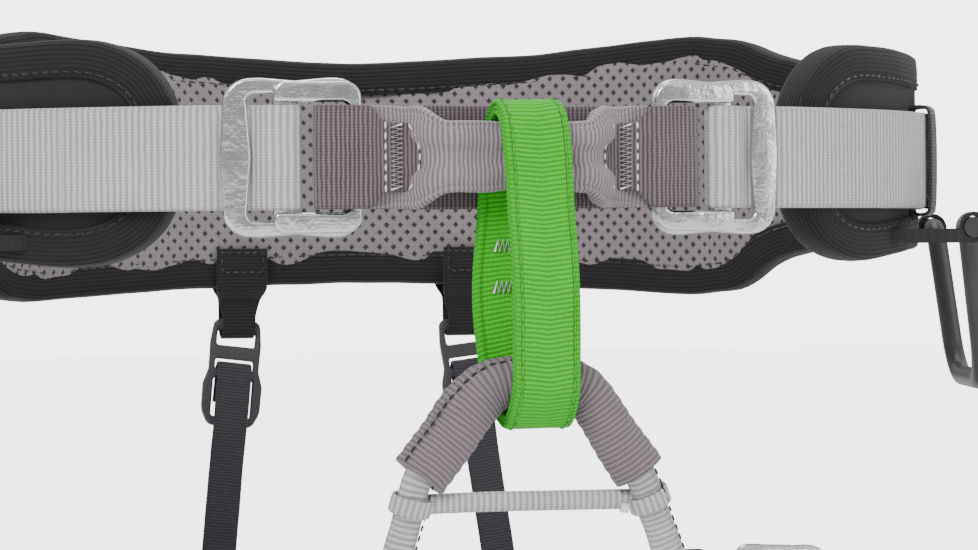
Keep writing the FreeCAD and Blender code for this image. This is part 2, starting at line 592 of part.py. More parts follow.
riser_low = {}
for name, side in (("left", -1), ("right", 1)):
    placement = leg_placement(side)
    inset = S.binding_thick
    keep(leg_layer(S.thigh_radius, LEG_LINING_OUT, inset), name + "_leg_lining", placement)
    keep(leg_layer(LEG_LINING_OUT, LEG_FOAM_OUT, inset), name + "_leg_foam", placement)
    keep(leg_layer(LEG_FOAM_OUT, LEG_SHELL_OUT, inset), name + "_leg_shell", placement)
    tape = leg_layer(S.thigh_radius - S.binding_thick, LEG_PAD_OUT, 0)
    tape = tape.cut(leg_layer(S.thigh_radius, LEG_SHELL_OUT, inset))
    tape = tape.cut(leg_layer(S.thigh_radius - 2, LEG_PAD_OUT + 2, S.binding_width - 3))
    keep(tape, name + "_leg_binding", placement)

    # the apex in the leg's own plane, for the right leg: towards the middle and the front
    foot = S.right_apex_side if side > 0 else S.left_apex_side
    apex = (-(S.leg_spacing / 2 - foot), -(APEX_FRONT - S.leg_back) / math.cos(LEG_TILT))
    reach = math.hypot(*apex)
    facing = math.degrees(math.atan2(apex[1], apex[0]))
    spread = math.degrees(math.acos(LEG_STRAND / reach))
    outer_touch, inner_touch = facing + spread, facing - spread
    touch = on_circle(LEG_STRAND, outer_touch)
    run = math.hypot(touch[0] - apex[0], touch[1] - apex[1])
    way = ((touch[0] - apex[0]) / run, (touch[1] - apex[1]) / run)
    out = (way[1], -way[0])
    ratio = 0.80
    buckle = Buckle((side * (apex[0] + way[0] * HINGE_AT), apex[1] + way[1] * HINGE_AT),
                    (side * way[0], way[1]), (side * out[0], out[1]),
                    S.leg_webbing_width, S.leg_webbing_thick, ratio)
    buckle_shift = -buckle.strand_n
    buckle.at = (buckle.at[0] + buckle.outwards[0] * buckle_shift, buckle.at[1] + buckle.outwards[1] * buckle_shift)
    add_buckle(name + "_leg", buckle, placement)
    half_width = S.leg_webbing_width / 2

    # from the split beside the buckle, round the outside of the thigh, to the apex
    steps = int((360 + inner_touch - outer_touch) // 8)
    turn = (360 + inner_touch - outer_touch) / steps
    strand = [buckle.place(S.split_reach * ratio, buckle.strand_n)]
    strand += [buckle.place(S.split_reach * ratio + 3, buckle.strand_n)]
    strand += mirror_x([on_circle(LEG_STRAND, outer_touch + turn * i) for i in range(1, steps)], side)
    inner_end = on_circle(LEG_STRAND, inner_touch)
    strand += mirror_x([inner_end, (apex[0] * 0.5 + inner_end[0] * 0.5, apex[1] * 0.5 + inner_end[1] * 0.5),
                        (apex[0] * 0.94 + inner_end[0] * 0.06, apex[1] * 0.94 + inner_end[1] * 0.06)], side)
    keep(ribbon(smooth(strand, 2), S.leg_webbing_thick, -half_width, half_width), name + "_leg_webbing", placement)
    leg_tail = LEG_STRAND + S.leg_webbing_thick + S.layer_gap
    tail = [buckle.place(S.split_reach * ratio, buckle.tail_n), buckle.place(S.split_reach * ratio + 3, buckle.tail_n)]
    tail += mirror_x([on_circle(leg_tail, outer_touch + turn * i) for i in range(1, 8)], side)
    keep(ribbon(smooth(tail, 2), S.leg_webbing_thick, -half_width, half_width), name + "_leg_tail", placement)

    # the short strap from the apex round the buckle's end bars
    half_bend = buckle.half_loop
    bend = [buckle.place(4.7 + half_bend * math.sin(math.radians(a)), half_bend * math.cos(math.radians(a)))
            for a in (0, 30, 60, 90, 120, 150, 180)]
    start = -HINGE_AT + 1.5
    layer = (S.leg_webbing_thick + S.layer_gap) / 2
    anchor = [buckle.place(start, buckle.strand_n + layer + 1.2), buckle.place(-7.5, half_bend * 0.75)]
    anchor += [buckle.place(-2.2, half_bend), buckle.place(1.5, half_bend)] + bend
    anchor += [buckle.place(1.5, -half_bend), buckle.place(-2.2, -half_bend), buckle.place(-7.5, -half_bend - 0.3)]
    anchor += [buckle.place(start, buckle.strand_n - layer)]
    keep(ribbon(smooth(anchor, 4), S.leg_webbing_thick, -half_width, half_width),
         name + "_leg_buckle_strap", placement)
    joint_x, joint_y = side * apex[0], apex[1]
    joint = box(joint_x - 7, joint_x + 7, joint_y - 8, joint_y + 6, -half_width - 1, half_width + 4)
    joint = joint.makeFillet(3, joint.Edges)
    keep(joint, name + "_leg_junction", placement)

    # a tape loop on the pad's top edge, which the riser passes through
    anchor_turn = side * S.anchor_angle
    at = on_circle(LEG_PAD_OUT + 1.6, 90 + anchor_turn)
    loop = box(-11, 11, -0.8, 0.8, S.anchor_height - 25, S.anchor_height + 1)
    loop = loop.cut(box(-9.2, 9.2, -2, 2, S.anchor_height - 14, S.anchor_height - 1))
    seat = FreeCAD.Placement(Vector(at[0], at[1], 0), FreeCAD.Rotation(Vector(0, 0, 1), anchor_turn))
    keep(loop, name + "_riser_anchor", placement.multiply(seat))
    riser_low[name] = placement.multiply(seat).multVec(Vector(0, 0, S.anchor_height))

# ---------------------------------------------------------------- rear risers
for name, side in (("left", -1), ("right", 1)):
    pivot = Vector(side * S.riser_side, S.riser_pivot_back, S.riser_pivot_height)
    down = riser_low[name] - pivot
    length = down.Length
    # local Z runs up the riser, local X stays level
    z_axis = down * (-1 / length)
    turn = FreeCAD.Rotation(Vector(1, 0, 0), Vector(0, 0, 0), z_axis, "ZXY")
    placement = FreeCAD.Placement(pivot, turn)
    half = S.hook_width / 2
    slot = S.riser_width / 2 + 0.8
    plate = box(-half, half, -S.hook_thick / 2, S.hook_thick / 2, -34, 2)
    plate = plate.makeFillet(4, [e for e in plate.Edges if abs(e.Vertexes[0].Point.y - e.Vertexes[1].Point.y) > 1])
    for z0, z1 in ((-7, -2), (-15, -11.5), (-31, -18)):
        plate = plate.cut(box(-slot, slot, -5, 5, z0, z1))
    keep(plate, name + "_riser_hook", placement)
    face = S.hook_thick / 2 + 0.3 + S.riser_thick / 2
    bend_low = 5.1 + S.riser_thick / 2
    route = [(face, -26), (face, -20), (face, -16.5), (face * 0.75, -13.8), (0, -12.9), (-face * 0.75, -13.8),
             (-face, -16.5), (-face, -24), (-face, -33), (-1.2, -44), (-0.9, -60), (-0.9, -length + 32),
             (-2.6, -length + 17), (-bend_low, -length + 5)]
    route += [(-bend_low * math.cos(math.radians(a)), -length - bend_low * math.sin(math.radians(a)))
              for a in range(0, 181, 30)]
    route += [(bend_low, -length + 5), (2.8, -length + 16), (1.2, -length + 25)]
    strap = ribbon(smooth(route, 4), S.riser_thick, -S.riser_width / 2, S.riser_width / 2)
    # drawn in plan: plan X becomes depth, plan Y becomes height, thickness runs across
    stand = FreeCAD.Placement(Vector(0, 0, 0),
                              FreeCAD.Rotation(Vector(0, 1, 0), Vector(0, 0, 1), Vector(1, 0, 0), "ZXY"))
    keep(strap, name + "_riser_strap", placement.multiply(stand))
    # the black tab folded over the belt's lower edge, with its loop round the hook's top bar
    loop_r = math.hypot(S.hook_thick / 2, 2) + 0.7 + 0.5
    tab_path = [(-9.6, 26), (-9.3, 20), (-8.6, 13), (-loop_r - 0.6, 8.5), (-loop_r, 3)]
    tab_path += [(-loop_r * math.cos(math.radians(a)), -loop_r * math.sin(math.radians(a))) for a in range(0, 181, 30)]
    tab_path += [(loop_r, 3), (loop_r + 0.6, 8.5), (8.6, 13), (9.3, 20), (9.6, 33)]
    tab = ribbon(smooth(tab_path, 4), 1.0, -S.riser_width / 2, S.riser_width / 2)
    tab_place = FreeCAD.Placement(pivot, FreeCAD.Rotation()).multiply(stand)
    keep(tab, name + "_riser_tab", tab_place)


# ---------------------------------------------------------------- gear loops
def hanging_loop(label, angle, radius, half_width, drop, height, lean, rests_on):
    """A swinging loop of tube, and its two webbing tunnels on the shell."""
    wide, deep = waist_ellipse(SHELL_OUT)
    x, y = ellipse_point(wide, deep, angle)
    x2, y2 = ellipse_point(wide, deep, angle + 0.5)
    heading = math.degrees(math.atan2(y2 - y, x2 - x))
    away = STRAND + S.webbing_thick - SHELL_OUT + S.webbing_thick + 3 + radius
    # local X along the tangent, local -Y or +Y out of the belt
    placement = FreeCAD.Placement(Vector(x, y, height), FreeCAD.Rotation(Vector(0, 0, 1), heading))
    mid = placement.multVec(Vector(0, 1, 0)) - Vector(x, y, height)
    outward = 1 if mid.dot(Vector(x, y, 0)) > 0 else -1
    axis_y = outward * away
    reach = half_width + 14.5
    route = [(-reach, axis_y, 0), (-half_width, axis_y, 0),
             (-half_width * 0.82, axis_y + outward * lean, -drop), (half_width * 0.82, axis_y + outward * lean, -drop),
             (half_width, axis_y, 0), (reach, axis_y, 0)]
    keep(pipe(route, radius, (6, 0.3 * drop, 0.3 * drop, 6)), label, placement)
    blocks = []
    tunnel_r = radius + S.tunnel_wall
    for end in (-1, 1):
        x0 = half_width + 7 if end > 0 else -half_width - 14
        block = Part.makeCylinder(tunnel_r, 7, Vector(x0, axis_y, 0), Vector(1, 0, 0))
        tongue = box(x0, x0 + 7, min(-outward * 22, axis_y), max(-outward * 22, axis_y), -tunnel_r, -tunnel_r + 4.4)
        block = block.fuse(tongue)
        block = block.cut(Part.makeCylinder(radius + S.tunnel_play, 9, Vector(x0 - 1, axis_y, 0), Vector(1, 0, 0)))
        blocks.append(block)
    wide, deep = waist_ellipse(rests_on + 0.1)
    inside = elliptic_ring((1, 1), (wide, deep), -TALL, TALL)
    made = []
    for block in blocks:
        block.Placement = placement
        made.append(block.cut(inside))
    return made


tunnels = []
for name, side in (("left_gear_loop", -1), ("right_gear_loop", 1)):
    tunnels += hanging_loop(name, side * S.gear_angle, S.gear_tube_radius, S.gear_half_width, S.gear_drop,
                            S.gear_height, 6, PAD_OUT)
keep(Part.makeCompound(tunnels), "gear_loop_tunnels")

# ---------------------------------------------------------------- check and write
doc.recompute()
for item in doc.Objects:
    if "Invalid" in item.State or "Error" in item.State:
        raise RuntimeError(f"{item.Label} failed: {item.State}")
os.makedirs("parts", exist_ok=True)
labels = set()
for item in parts:
    shape = item.Shape
    if shape.isNull() or not shape.isValid() or not shape.Solids:
        raise RuntimeError(f"{item.Label} has no valid solid")
    if item.Label in labels:
        raise RuntimeError(f"{item.Label} is used twice")
    labels.add(item.Label)
    shape.exportStep(f"parts/{item.Label}.step")
print(len(parts), "sub-parts written")
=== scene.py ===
# %% [markdown]
# # A padded sit harness
# This lesson dresses a finished CAD frame of a climbing sit harness: a padded waist belt with double-
# back buckles, a folded tie-in bridge, a sewn belay loop, two leg loops and two elastic risers. The
# order is: load the frame, small tools, materials, padded pieces by cloth simulation, edge bindings,
# webbing, stitches, buckles, hooks and loops, and last the light and the camera.

# %% Load the frame and note its size
import math
import bpy
import numpy as np
from mathutils import Matrix, Quaternion, Vector, noise


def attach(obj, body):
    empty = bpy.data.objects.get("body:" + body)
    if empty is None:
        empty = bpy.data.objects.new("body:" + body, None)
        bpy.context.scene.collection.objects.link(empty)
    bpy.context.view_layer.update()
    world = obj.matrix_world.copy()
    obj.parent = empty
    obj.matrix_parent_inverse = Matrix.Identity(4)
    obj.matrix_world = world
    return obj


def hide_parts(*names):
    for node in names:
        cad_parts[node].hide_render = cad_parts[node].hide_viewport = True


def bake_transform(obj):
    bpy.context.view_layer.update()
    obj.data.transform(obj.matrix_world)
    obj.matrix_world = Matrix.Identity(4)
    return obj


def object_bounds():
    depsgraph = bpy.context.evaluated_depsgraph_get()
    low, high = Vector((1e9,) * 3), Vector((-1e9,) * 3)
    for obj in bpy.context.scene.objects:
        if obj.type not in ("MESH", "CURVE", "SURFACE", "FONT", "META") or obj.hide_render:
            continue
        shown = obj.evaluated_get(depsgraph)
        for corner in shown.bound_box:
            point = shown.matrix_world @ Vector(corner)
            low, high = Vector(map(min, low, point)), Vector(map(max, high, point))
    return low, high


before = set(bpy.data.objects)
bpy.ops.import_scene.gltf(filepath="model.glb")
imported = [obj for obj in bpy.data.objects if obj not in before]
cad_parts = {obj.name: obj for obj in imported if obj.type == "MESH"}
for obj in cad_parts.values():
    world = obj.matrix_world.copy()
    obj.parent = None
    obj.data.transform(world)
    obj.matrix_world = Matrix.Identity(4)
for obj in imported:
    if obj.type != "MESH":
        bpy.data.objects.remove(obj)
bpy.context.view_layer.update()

MM = 0.001
TURN = 2 * math.pi
SIDES = (("left", -1), ("right", 1))
WAIST_WIDE, WAIST_DEEP = 150, 95

# %% [markdown]
# ## Paths
# A harness is mostly straps, and every strap follows a path. A curve object with a bevel could draw
# one, but it twists at bends and gives no say in how the weave lies. So a few guide points, in
# millimetres, are joined by a smooth curve here and divided evenly, and weave and stitches keep one
# scale along the strap.


# %% Paths: smooth curves through guide points, divided evenly
def smooth_path(guides, step=2.0, closed=False):
    """Evenly spaced points of a smooth curve through the guide points."""
    g = [Vector(p) for p in guides]
    count = len(g)
    dense = []
    for i in range(count if closed else count - 1):
        p1, p2 = g[i], g[(i + 1) % count]
        p0 = g[i - 1] if closed or i else p1 * 2 - p2
        p3 = g[(i + 2) % count] if closed or i + 2 < count else p2 * 2 - p1
        k0, k1, k2 = ((b - a).length ** 0.5 + 1e-9 for a, b in ((p0, p1), (p1, p2), (p2, p3)))
        m1 = (p1 - p0) / k0 - (p2 - p0) / (k0 + k1) + (p2 - p1) / k1
        m2 = (p2 - p1) / k1 - (p3 - p1) / (k1 + k2) + (p3 - p2) / k2
        m1, m2 = m1 * k1, m2 * k1
        for j in range(12):
            t = j / 12
            dense.append(p1 * (2 * t**3 - 3 * t**2 + 1) + m1 * (t**3 - 2 * t**2 + t)
                         + p2 * (3 * t**2 - 2 * t**3) + m2 * (t**3 - t**2))
    dense.append(g[0].copy() if closed else g[-1].copy())
    lengths = np.concatenate([[0], np.cumsum([(b - a).length for a, b in zip(dense, dense[1:])])])
    pieces = max(2, round(lengths[-1] / step))
    wanted = np.linspace(0, lengths[-1], pieces + 1)
    xyz = np.array([tuple(p) for p in dense])
    even = np.stack([np.interp(wanted, lengths, xyz[:, i]) for i in range(3)], axis=1)
    found = [Vector(p) for p in even]
    return found[:-1] if closed else found


def flat(points, z=0.0):
    """Plan points raised to one level."""
    return [(x, y, z) for x, y in points]


def ease(start, end, count=7):
    """Points of a soft S-bend between two plan points."""
    steps = [i / (count - 1) for i in range(count)]
    return [(start[0] + (end[0] - start[0]) * t,
             start[1] + (end[1] - start[1]) * (1 - math.cos(math.pi * t)) / 2) for t in steps]


def ellipse_point(offset, angle):
    """A plan point beside the waist, at an angle in degrees from the centre back."""
    a = math.radians(angle)
    return (WAIST_WIDE + offset) * math.sin(a), (WAIST_DEEP + offset) * math.cos(a)


def arc(u, n, radius, steps=6):
    """A half turn in a buckle's own plan."""
    turns = [math.radians(180 * i / steps) for i in range(steps + 1)]
    return [(u + radius * math.sin(a), n + radius * math.cos(a)) for a in turns]


# %% [markdown]
# ## Sweeps
# Webbing is a flat woven band that bends easily one way only. A thickened plane would do for a straight
# piece, but these straps turn round bars, so a section is carried along each path: a thin rounded
# rectangle for a strap, whose width direction is told, and an oval for a tube. Each face corner stores
# how far along and across it lies, in metres, in the map named weave, so that the ribs follow the strap
# round every bend.


# %% Sweeps: straps and tubes with a weave map
def new_object(name, points, faces, corners=None, smooth=True):
    """A mesh object at the origin, with an optional weave map given per face corner."""
    mesh = bpy.data.meshes.new(name)
    mesh.from_pydata([tuple(p) for p in points], [], faces)
    if corners is not None:
        layer = mesh.uv_layers.new(name="weave")
        layer.data.foreach_set("uv", np.asarray(corners, float).ravel())
    mesh.update()
    if smooth:
        mesh.shade_smooth()
    obj = bpy.data.objects.new(name, mesh)
    bpy.context.collection.objects.link(obj)
    return obj


def strap_section(width, thick, cells=6):
    """A rounded strip, as (across, out) pairs in millimetres."""
    w, h = width / 2 - thick / 2, thick / 2
    across = [(-w + 2 * w * i / cells) for i in range(cells + 1)]
    top = [(a, h) for a in across]
    cap = [(w + h * math.sin(math.radians(t)), h * math.cos(math.radians(t))) for t in (45, 90, 135)]
    low = [(a, -h) for a in reversed(across)]
    tail = [(-w - h * math.sin(math.radians(t)), -h * math.cos(math.radians(t))) for t in (45, 90, 135)]
    return top + cap + low + tail


def tube_section(radius, sides):
    """A circle."""
    return [(radius * math.sin(TURN * i / sides), radius * math.cos(TURN * i / sides)) for i in range(sides)]


def frames(path, across, closed):
    """Width and outward directions at each path point."""
    found = []
    count = len(path)
    for i, p in enumerate(path):
        before = path[i - 1] if closed or i else p
        after = path[(i + 1) % count] if closed or i < count - 1 else p
        t = (after - before).normalized()
        w = Vector(across[i] if isinstance(across, list) else across)
        w = (w - t * w.dot(t)).normalized()
        found.append((w, w.cross(t).normalized()))
    return found


def sweep(name, path, across, section, closed=False, begin=0.0, v_of=None):
    """Carries a section along a path, and gives the result in metres. The section is one list of
    (across, out), or a function of the share of the path that gives one."""
    at = frames(path, across, closed)
    count = len(path)
    lengths = [0.0]
    for a, b in zip(path, path[1:]):
        lengths.append(lengths[-1] + (b - a).length)
    total = lengths[-1] + ((path[0] - path[-1]).length if closed else 0)
    rings = []
    for i, p in enumerate(path):
        shape = section(lengths[i] / total) if callable(section) else section
        w, n = at[i]
        rings.append([p + w * a + n * o for a, o in shape])
    sides = len(rings[0])
    base = section(0.0) if callable(section) else section
    across_v = [v_of(j) if v_of else base[j][0] for j in range(sides + 1 if v_of else sides)]
    if not v_of:
        across_v.append(across_v[0])
    points = [q * MM for ring in rings for q in ring]
    faces, corners = [], []
    for i in range(count if closed else count - 1):
        k = (i + 1) % count
        u0 = begin + lengths[i]
        u1 = begin + (lengths[i + 1] if i + 1 < count else total)
        for j in range(sides):
            m = (j + 1) % sides
            faces.append((i * sides + j, i * sides + m, k * sides + m, k * sides + j))
            v0, v1 = across_v[j], across_v[j + 1]
            corners += [(u0 * MM, v0 * MM), (u0 * MM, v1 * MM), (u1 * MM, v1 * MM), (u1 * MM, v0 * MM)]
    if not closed:
        for ring, flip in ((0, True), (count - 1, False)):
            order = list(range(sides))
            if flip:
                order.reverse()
            faces.append(tuple(ring * sides + j for j in order))
            corners += [((begin + lengths[ring]) * MM, across_v[j] * MM) for j in order]
    obj = new_object(name, points, faces, corners)
    if volume(obj) < 0:
        obj.data.flip_normals()
    return obj


def volume(obj):
    """Signed volume, to tell which way the faces point."""
    mesh = obj.data
    mesh.calc_loop_triangles()
    co = np.array([v.co for v in mesh.vertices])
    tri = np.array([t.vertices for t in mesh.loop_triangles])
    a, b, c = co[tri[:, 0]], co[tri[:, 1]], co[tri[:, 2]]
    return float(np.einsum("ij,ij->i", a, np.cross(b, c)).sum() / 6)


noise.seed_set(1)


def wear(obj, amount, scale):
    """Makes cloth less perfect: smooth fixed noise moves the points by up to an amount in millimetres."""
    for v in obj.data.vertices:
        v.co += noise.noise_vector(v.co * scale) * amount * MM
    return obj


def finish(obj, body, slot, material, *nodes):
    """Gives a piece its material, its body and the CAD nodes it stands for."""
    obj.data.materials.clear()
    obj.data.materials.append(material)
    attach(obj, body)
    if nodes:
        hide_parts(*nodes)
    return obj


def finish_bent(obj, material, bodies, node):
    """Gives a strap its material, bakes its placement into its mesh and hides the CAD node it stands for.
    bodies is not used.
    """
    obj.data.materials.append(material)
    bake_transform(obj)
    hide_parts(node)


# %% [markdown]
# ## Materials
# The real pieces are dull woven cloth, polished metal and moulded plastic. Pictures of cloth could be
# used, but they blur close up, so each pattern is worked out from the strap's own map or the object's
# coordinates, with its relief in the bump and a little of it in the colour as painted shade and light.
# Shader maths reads badly as a list of links, so a small class lets it be written as plain arithmetic.


# %% Materials: a small language for shader nodes
class Value:
    """A socket that can be used in arithmetic."""

    def __init__(self, graph, socket):
        self.graph, self.socket = graph, socket

    def _do(self, op, *others, flip=False):
        inputs = [self, *others]
        if flip:
            inputs.reverse()
        return self.graph.node("ShaderNodeMath", *inputs, operation=op)

    def __add__(self, other):
        return self._do("ADD", other)

    __radd__ = __add__

    def __mul__(self, other):
        return self._do("MULTIPLY", other)

    __rmul__ = __mul__

    def __sub__(self, other):
        return self._do("SUBTRACT", other)

    def __rsub__(self, other):
        return self._do("SUBTRACT", other, flip=True)

    def sin(self):
        return self._do("SINE")

    def wrap(self):
        return self._do("FRACT")

    def floor(self):
        return self._do("FLOOR")

    def size(self):
        return self._do("ABSOLUTE")

    def modulo(self, other):
        return self._do("MODULO", other)

    def atan2(self, other):
        return self._do("ARCTAN2", other)

    def step(self, low, high):
        """0 below low, 1 above high, smooth between."""
        return self.graph.node("ShaderNodeMapRange", self, low, high, 0.0, 1.0,
                               interpolation_type="SMOOTHSTEP")


class Graph:
    """A material under construction."""

    def __init__(self, name):
        self.material = bpy.data.materials.new(name)
        self.material.use_nodes = True
        self.tree = self.material.node_tree
        self.shader = self.tree.nodes["Principled BSDF"]

    def node(self, kind, *inputs, out=0, **settings):
        """Adds any node: inputs in order, None to skip one, and settings by name."""
        node = self.tree.nodes.new(kind)
        for key, value in settings.items():
            setattr(node, key, value)
        for i, value in enumerate(inputs):
            if isinstance(value, Value):
                self.tree.links.new(value.socket, node.inputs[i])
            elif value is not None:
                node.inputs[i].default_value = value
        return Value(self, node.outputs[out])

    def place(self):
        """Object coordinates as x, y, z in metres."""
        at = self.node("ShaderNodeTexCoord", out=3)
        split = self.node("ShaderNodeSeparateXYZ", at)
        return at, [Value(self, split.socket.node.outputs[i]) for i in range(3)]

    def weave(self):
        """Along and across a strap, in metres."""
        at = self.node("ShaderNodeUVMap", uv_map="weave")
        split = self.node("ShaderNodeSeparateXYZ", at)
        return [Value(self, split.socket.node.outputs[i]) for i in range(2)]

    def mottle(self, at, scale, detail=3.0):
        """Soft noise from 0 to 1."""
        return self.node("ShaderNodeTexNoise", at, None, scale, detail, 0.55)

    def mix(self, share, first, second):
        """Blends two colours."""
        node = self.tree.nodes.new("ShaderNodeMix")
        node.data_type = "RGBA"
        for socket, value in ((node.inputs[0], share), (node.inputs[6], first), (node.inputs[7], second)):
            if isinstance(value, Value):
                self.tree.links.new(value.socket, socket)
            else:
                socket.default_value = value
        return Value(self, node.outputs[2])

    def paint(self, colour, rough, bump=None, height=0.0003, metal=0.0, sheen=0.0, coat=0.0,
              gloss=0.14):
        """Connects colour, roughness and bump to the surface. height is in metres."""
        for name, value in (("Base Color", colour), ("Roughness", rough), ("Metallic", metal),
                            ("Coat Weight", coat)):
            if isinstance(value, Value):
                self.tree.links.new(value.socket, self.shader.inputs[name])
            else:
                self.shader.inputs[name].default_value = value
        self.shader.inputs["Specular IOR Level"].default_value = gloss
        if sheen:
            self.shader.inputs["Sheen Weight"].default_value = sheen
            self.shader.inputs["Sheen Roughness"].default_value = 0.45
        if bump is not None:
            normal = self.tree.nodes.new("ShaderNodeBump")
            normal.inputs["Strength"].default_value = 1.0
            normal.inputs["Distance"].default_value = height
            self.tree.links.new(bump.socket, normal.inputs["Height"])
            self.tree.links.new(normal.outputs["Normal"], self.shader.inputs["Normal"])
        return self.material


def rgba(colour, gain=1.0):
    return tuple(min(1.0, c * gain) for c in colour) + (1.0,)


# %% Materials: woven strap
YARN = 0.85


def webbing(name, colour, rib=1.9, width=30.0, edge=0.75, ribs_deep=0.00022, sheen=0.1, chevron=0.0,
            lines=(), valley_shade=0.52, crest_light=1.12):
    """Woven strap: cross ribs, fine yarns along it, painted shade in the valleys and painted light on the
    crests, a firmer selvedge and optional stitch lines at given distances across, each darkened as
    painted shade in its groove. The rib and the width are in millimetres."""
    g = Graph(name)
    along, across = g.weave()
    at, _ = g.place()
    wander = g.mottle(at, 260.0, 2.0) * 0.0006
    lean = across.size() * chevron
    ribs = ((along + wander + lean) * (TURN * 1000 / rib)).sin() * 0.5 + 0.5
    yarn = (across * (TURN * 1000 / YARN)).sin() * 0.5 + 0.5
    cloud = g.mottle(at, 60.0, 4.0)
    edge_band = across.size().step((width / 2 - 1.6) * MM, (width / 2 - 1.0) * MM)
    height = ribs * 0.75 + yarn * 0.25 + edge_band * 0.25
    # Painted shade and light: rib and yarn valleys darker, crests lighter, over a random mottle.
    shade = (ribs * 0.55 + yarn * 0.2 + cloud * 0.25).step(0.05, 0.85)
    base = g.mix(shade, rgba(colour, valley_shade), rgba(colour, crest_light))
    base = g.mix(edge_band * (1 - edge), base, rgba(colour, 0.6))
    for line in lines:
        # Painted shade in the groove of each stitch line.
        near = (across - line * MM).size().step(0.55 * MM, 0.25 * MM)
        base = g.mix(near * 0.45, base, rgba(colour, 0.3))
        height = height - near * 0.9
    return g.paint(base, shade * -0.12 + 0.82, height, ribs_deep, sheen=sheen)


# %% Materials: plain cloth and the soft lining
def plain_cloth(name, colour, pitch=0.9, deep=0.00012, rough=0.85, sheen=0.3):
    """Fine woven or knitted cloth on object coordinates: two crossed sets of yarns, their relief also painted
    into the colour as shade and light.
    """
    g = Graph(name)
    at, (x, y, z) = g.place()
    round_body = (x * 0.7).atan2(y) * 0.12
    a = ((round_body + z) * (TURN * 1000 / pitch)).sin()
    b = ((round_body - z) * (TURN * 1000 / pitch)).sin()
    yarns = a * b * 0.5 + 0.5
    cloud = g.mottle(at, 45.0, 4.0)
    # Painted shade and light from the yarn relief, mixed with a random mottle.
    base = g.mix(yarns * 0.6 + cloud * 0.4, rgba(colour, 0.62), rgba(colour, 1.25))
    return g.paint(base, cloud * 0.1 + rough - 0.05, yarns, deep, sheen=sheen)


def spacer_mesh(name, colour, hole, pitch=4.1):
    """Soft lining with staggered diamond holes filled with a dark colour as painted shade, and painted shade
    in the knit, laid out on the pad's attribute named lay.
    """
    g = Graph(name)
    at, _ = g.place()
    lay = g.node("ShaderNodeAttribute", attribute_name="lay", out=1)
    split = g.node("ShaderNodeSeparateXYZ", lay)
    along, up = Value(g, split.socket.node.outputs[0]), Value(g, split.socket.node.outputs[1])
    row = up * (1000 / (pitch * 0.6))
    shift = row.floor().modulo(2.0)
    cell = ((along * (1000 / pitch) + shift * 0.5 + 40.0).wrap() - 0.5).size()
    rise = (row.wrap() - 0.5).size()
    diamond = (cell * 1.5 + rise * 0.72).step(0.36, 0.22)
    fuzz = g.mottle(at, 1400.0, 2.0)
    cloud = g.mottle(at, 25.0, 3.0)
    knit = (along * (TURN * 1000 / 0.9)).sin() * (up * (TURN * 1000 / 0.9)).sin() * 0.5 + 0.5
    face = g.mix(fuzz * 0.5 + cloud * 0.5, rgba(colour, 0.78), rgba(colour, 1.25))
    # Painted shade in the knit.
    face = g.mix(knit * 0.25, face, rgba(colour, 0.7))
    # The holes take the dark hole colour, painted shade in place of real openings.
    base = g.mix(diamond, face, rgba(hole))
    return g.paint(base, 0.9, knit * 0.2 + fuzz * 0.15 - diamond, 0.0007, sheen=0.35)


# %% Materials: edge tape and thread
def rib_tape(name, colour, pitch=1.7, twill=0.9):
    """Stretch binding: soft ribs that run along the edge, with a fine slanted twill on them, both also
    painted into the colour as shade and light.
    """
    g = Graph(name)
    along, across = g.weave()
    at, _ = g.place()
    ribs = (across * (TURN * 1000 / pitch)).sin() * 0.5 + 0.5
    slant = ((along * 0.8 + across) * (TURN * 1000 / twill)).sin() * 0.5 + 0.5
    cloud = g.mottle(at, 70.0, 3.0)
    # Painted shade and light from the ribs and twill, mixed with a random mottle.
    base = g.mix(ribs * 0.45 + slant * 0.3 + cloud * 0.25, rgba(colour, 0.45), rgba(colour, 1.9))
    return g.paint(base, 0.74 + cloud * 0.12, ribs * 0.7 + slant * 0.3, 0.00026, sheen=0.08)


def thread(name, colour):
    """Twisted sewing thread, with painted shade in the grooves of its twist."""
    g = Graph(name)
    _, (x, y, z) = g.place()
    twist = ((x + y + z) * (TURN * 1000 / 0.5)).sin() * 0.5 + 0.5
    return g.paint(g.mix(twist, rgba(colour, 0.7), rgba(colour)), 0.6, twist, 0.0001, sheen=0.3)


# %% Materials: metal and plastic
def alloy(name, colour=(0.55, 0.56, 0.58)):
    """Tumbled and polished forging: soft cloudy gloss, very fine scratches, and a colour slightly darker in
    the hollows of the cloudy relief, as painted shade.
    """
    g = Graph(name)
    at, _ = g.place()
    cloud = g.mottle(at, 90.0, 4.0)
    scratch = g.node("ShaderNodeTexNoise", g.node("ShaderNodeMapping", at, None, None, (60.0, 60.0, 2200.0)),
                     None, 1.0, 3.0, 0.6)
    # Painted shade: the colour darkens where the cloudy relief dips.
    base = g.mix(cloud, rgba(colour, 0.86), rgba(colour, 1.06))
    rough = cloud * 0.12 + scratch * 0.08 + 0.12
    return g.paint(base, rough, scratch * 0.04 + cloud, 0.0009, metal=1.0, gloss=0.5)


def plastic(name, colour, rough=0.42, grain=0.00004):
    """Moulded plastic with a fine grained skin."""
    g = Graph(name)
    at, _ = g.place()
    fine = g.mottle(at, 1500.0, 3.0)
    cloud = g.mottle(at, 40.0, 2.0)
    base = g.mix(cloud, rgba(colour, 0.8), rgba(colour, 1.5))
    return g.paint(base, rough + fine * 0.12 + cloud * 0.08, fine, grain, gloss=0.4)


